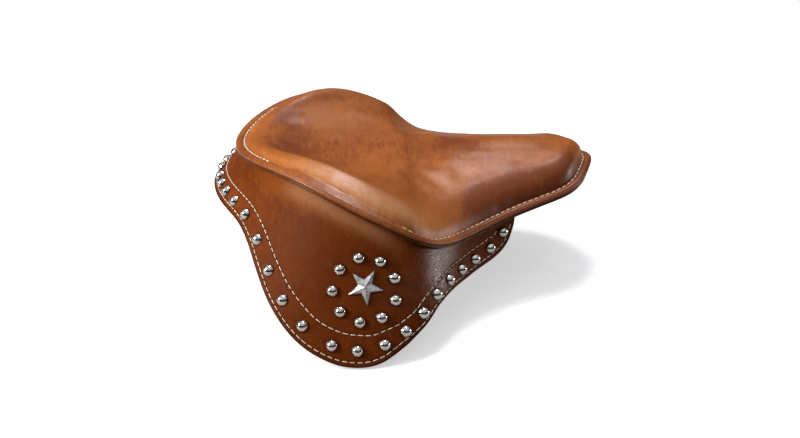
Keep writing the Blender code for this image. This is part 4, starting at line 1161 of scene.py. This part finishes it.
def build_star(name, side, node):
    """Five-pointed faceted star with a raised ridge to each point and softened arrises."""
    origin, axes = place_matrices(np.array([side * STAR_PLACE[0]], float), np.array([STAR_PLACE[1]], float))
    bm = bmesh.new()
    centre = bm.verts.new((0, 0, STAR_HEIGHT))
    lower = bm.verts.new((0, 0, STAR_FLOOR))
    rim_top, rim_low = [], []
    for k in range(10):
        angle = math.radians(90 + 36 * k)
        radius = STAR_RADIUS * (STAR_WAIST if k % 2 else 1.0)
        x, y = radius * math.cos(angle), radius * math.sin(angle)
        rim_top.append(bm.verts.new((x, y, STAR_FLOOR + STAR_RIM)))
        rim_low.append(bm.verts.new((x, y, STAR_FLOOR)))
    for k in range(10):
        n = (k + 1) % 10
        bm.faces.new((centre, rim_top[k], rim_top[n]))
        bm.faces.new((rim_top[k], rim_low[k], rim_low[n], rim_top[n]))
        bm.faces.new((lower, rim_low[n], rim_low[k]))
    bmesh.ops.recalc_face_normals(bm, faces=bm.faces)
    edges = [e for e in bm.edges if e.calc_face_angle(0) > math.radians(12)]
    bmesh.ops.bevel(bm, geom=edges, offset=STAR_ARRIS, segments=2, profile=0.6, affect="EDGES",
                    clamp_overlap=True)
    bmesh.ops.triangulate(bm, faces=bm.faces)
    bmesh.ops.subdivide_edges(bm, edges=bm.edges, cuts=2, use_grid_fill=True)
    tilt = Matrix.Rotation(math.radians(side * STAR_TILT), 4, "Z")
    bmesh.ops.transform(bm, matrix=tilt, verts=bm.verts)
    bm.verts.ensure_lookup_table()
    local = np.array([v.co for v in bm.verts])
    faces = [[v.index for v in f.verts] for f in bm.faces]
    bm.free()
    local[:, 2] += STAR_SEAT
    rise = np.clip(local[:, 2] / STAR_HEIGHT, 0, 1)
    obj = add_piece(name, origin[0] + local @ axes[0].T, faces, PEWTER, node, {"rise": rise})
    obj.data.set_sharp_from_angle(angle=math.radians(24))


# ---------- CAD pieces that stay


WELD_GAP, BEVEL_WIDTH, BEVEL_FROM = 0.00002, 0.00045, 38      # metres, metres, degrees


def dress(nodes, material):
    """Gives CAD nodes their finish and a small bevel on their hard edges."""
    for name in nodes:
        obj = frame["nodes"][name]
        obj.data.materials.clear()
        obj.data.materials.append(material)
        weld = obj.modifiers.new("weld", "WELD")
        weld.merge_threshold = WELD_GAP
        bevel = obj.modifiers.new("bevel", "BEVEL")
        bevel.width = BEVEL_WIDTH
        bevel.segments = 2
        bevel.limit_method = "ANGLE"
        bevel.angle_limit = math.radians(BEVEL_FROM)
        bevel.harden_normals = False


def pair(stem):
    return [stem + "_right", stem + "_left"]


# ---------- studio


LIGHTS = [                # name, place, target and size in metres, power in watts, colour
    ("key", (-0.45, 1.9, 1.0), (0, 0.1, 0.03), (0.8, 0.8), 52.0, (1.0, 0.97, 0.93)),
    ("top", (0.42, 0.02, 1.42), (0, 0.1, 0.05), (0.36, 0.36), 18.0, (0.93, 0.94, 1.0)),
    ("strip", (0.02, -1.3, 0.10), (-0.16, 0.1, 0.0), (0.50, 0.16), 4.6, (1.0, 0.98, 0.98)),
]
CAMERA_PLACE = (-0.9456, 0.1901, 0.4118)     # metres from the hinge pin
CAMERA_RISE, CAMERA_SWING, CAMERA_LENS = 25.3, 4.0, 42.75    # degrees up, degrees behind square, mm
FLOOR_GAP = 0.001         # between the seat's lowest point and the floor


def area_light(name, place, target, size, power, colour):
    data = bpy.data.lights.new(name, "AREA")
    data.shape = "RECTANGLE"
    data.size, data.size_y = size
    data.energy = power
    data.color = colour
    obj = place_object(name, data)
    obj.location = place
    obj.rotation_euler = (Vector(target) - Vector(place)).to_track_quat("-Z", "Y").to_euler()


def build_floor(height):
    mesh = bpy.data.meshes.new("studio_floor")
    bm = bmesh.new()
    bmesh.ops.create_grid(bm, x_segments=12, y_segments=12, size=6.0)
    bm.to_mesh(mesh)
    bm.free()
    floor = place_object("studio_floor", mesh)
    floor.location = (0, 0, height)
    s = Shader("pale_floor")
    cloud = s.noise(3.0, 3.0, 0.5)
    pale = s.mix(s.ramp(cloud, 0.3, 0.7), (0.86, 0.86, 0.86), (0.90, 0.90, 0.90))
    seen = s.node("LightPath", "Is Camera Ray", {})
    unseen = s.mix(s.node("LightPath", "Is Glossy Ray", {}), (0.32, 0.30, 0.28), (0.34, 0.33, 0.32))
    s.set(Base_Color=s.mix(seen, unseen, s.mix(0.6, pale, (0.5, 0.5, 0.5))), Roughness=0.7)
    s.set(Emission_Color=(1.0, 1.0, 1.0), Emission_Strength=s.math("MULTIPLY", seen, 0.52))
    mesh.materials.append(s.material)


def build_world():
    world = bpy.data.worlds.new("studio")
    bpy.context.scene.world = world
    world.use_nodes = True
    tree = world.node_tree
    shade = tree.nodes["Background"]
    path = tree.nodes.new("ShaderNodeLightPath")
    coords = tree.nodes.new("ShaderNodeTexCoord")
    split = tree.nodes.new("ShaderNodeSeparateXYZ")
    tree.links.new(coords.outputs["Generated"], split.inputs[0])
    ramp = tree.nodes.new("ShaderNodeValToRGB")
    for place, level in ((0.36, 0.05), (0.62, 0.40)):
        ramp.color_ramp.elements.new(place).color = (level, level, 1.06 * level, 1)
    ramp.color_ramp.elements[0].color = (0.012, 0.012, 0.013, 1)
    ramp.color_ramp.elements[-1].position = 0.85
    ramp.color_ramp.elements[-1].color = (0.95, 0.95, 1.03, 1)
    tree.links.new(split.outputs["Z"], ramp.inputs["Fac"])
    mix = tree.nodes.new("ShaderNodeMix")
    mix.data_type = "RGBA"
    tree.links.new(path.outputs["Is Camera Ray"], mix.inputs["Factor"])
    tree.links.new(ramp.outputs["Color"], mix.inputs[MIX_A])
    mix.inputs[MIX_B].default_value = (1.26, 1.26, 1.26, 1)
    tree.links.new(mix.outputs[MIX_OUT], shade.inputs["Color"])
    shade.inputs["Strength"].default_value = 0.75


def build_camera():
    """Three-quarter side view from the rider's right, a little behind square and 25 degrees up."""
    data = bpy.data.cameras.new("camera")
    data.lens = CAMERA_LENS
    data.sensor_width = 36.0
    camera = place_object("camera", data)
    elevation, azimuth = math.radians(CAMERA_RISE), math.radians(CAMERA_SWING)
    back = Vector((-math.cos(elevation) * math.cos(azimuth), math.cos(elevation) * math.sin(azimuth),
                   math.sin(elevation)))
    camera.location = Vector(CAMERA_PLACE) + Vector(PIVOT)
    camera.rotation_euler = (-back).to_track_quat("-Z", "Y").to_euler()
    bpy.context.scene.camera = camera


# ---------- everything in order

rim_path, rim_normals = build_cover(*build_pad())
sunk = buried(all_round(COVER_COLUMNS))[:, None]
build_stitches("rim_stitches", rim_path - rim_normals * sunk, rim_normals, RIM_THREAD, RIM_LENGTH,
               closed=True)
build_binding()

outer_row = stitch_row(outer_inset, OUTER_END)
inner_row = stitch_row(lambda at: follow(at, BORDER_WIDTH), INNER_END)
marked = []
for row, _ in (outer_row, inner_row):
    path, travelled = even_path(row)
    marked.append((path, travelled / even_pitch(travelled[-1])))
spot_points = []
for label, side in (("right", RIGHT), ("left", LEFT)):
    spot_points += list(build_spots("border_domes_" + label, *spot_places(side), "border_spots_" + label))
    spot_points += list(build_spots("ring_domes_" + label, *ring_places(side), "ring_spots_" + label))
    build_star("star_" + label, side, "star_concho_" + label)
build_skirt(marked, spot_points)
skirt_rows = (("outer", outer_row, OUTER_THREAD), ("inner", inner_row, INNER_THREAD))
for name, (path, normals), radius in skirt_rows:
    build_stitches("skirt_stitches_" + name, path - normals * SKIRT_SUNK, normals, radius, SKIRT_LENGTH)
build_lining()

dress(["seat_pan", "nose_plate"], PAN)
dress(["nose_clevis", "nose_foot", "rear_crossbar"], BLACK)
dress(pair("concho_nut") + pair("skirt_rivet_strip") + pair("spring_stud") + pair("stud_washer")
      + pair("stud_nut") + ["pivot_pin", "pivot_ring", "clevis_bolt_front", "clevis_bolt_rear",
                            "clevis_nut_front", "clevis_nut_rear"], ZINC)
dress(["pivot_bush"], BRONZE)

build_floor(CAD_BOX[0].z - FLOOR_GAP)
build_world()
for light in LIGHTS:
    area_light(*light)
build_camera()
bpy.context.scene.view_settings.view_transform = "Standard"
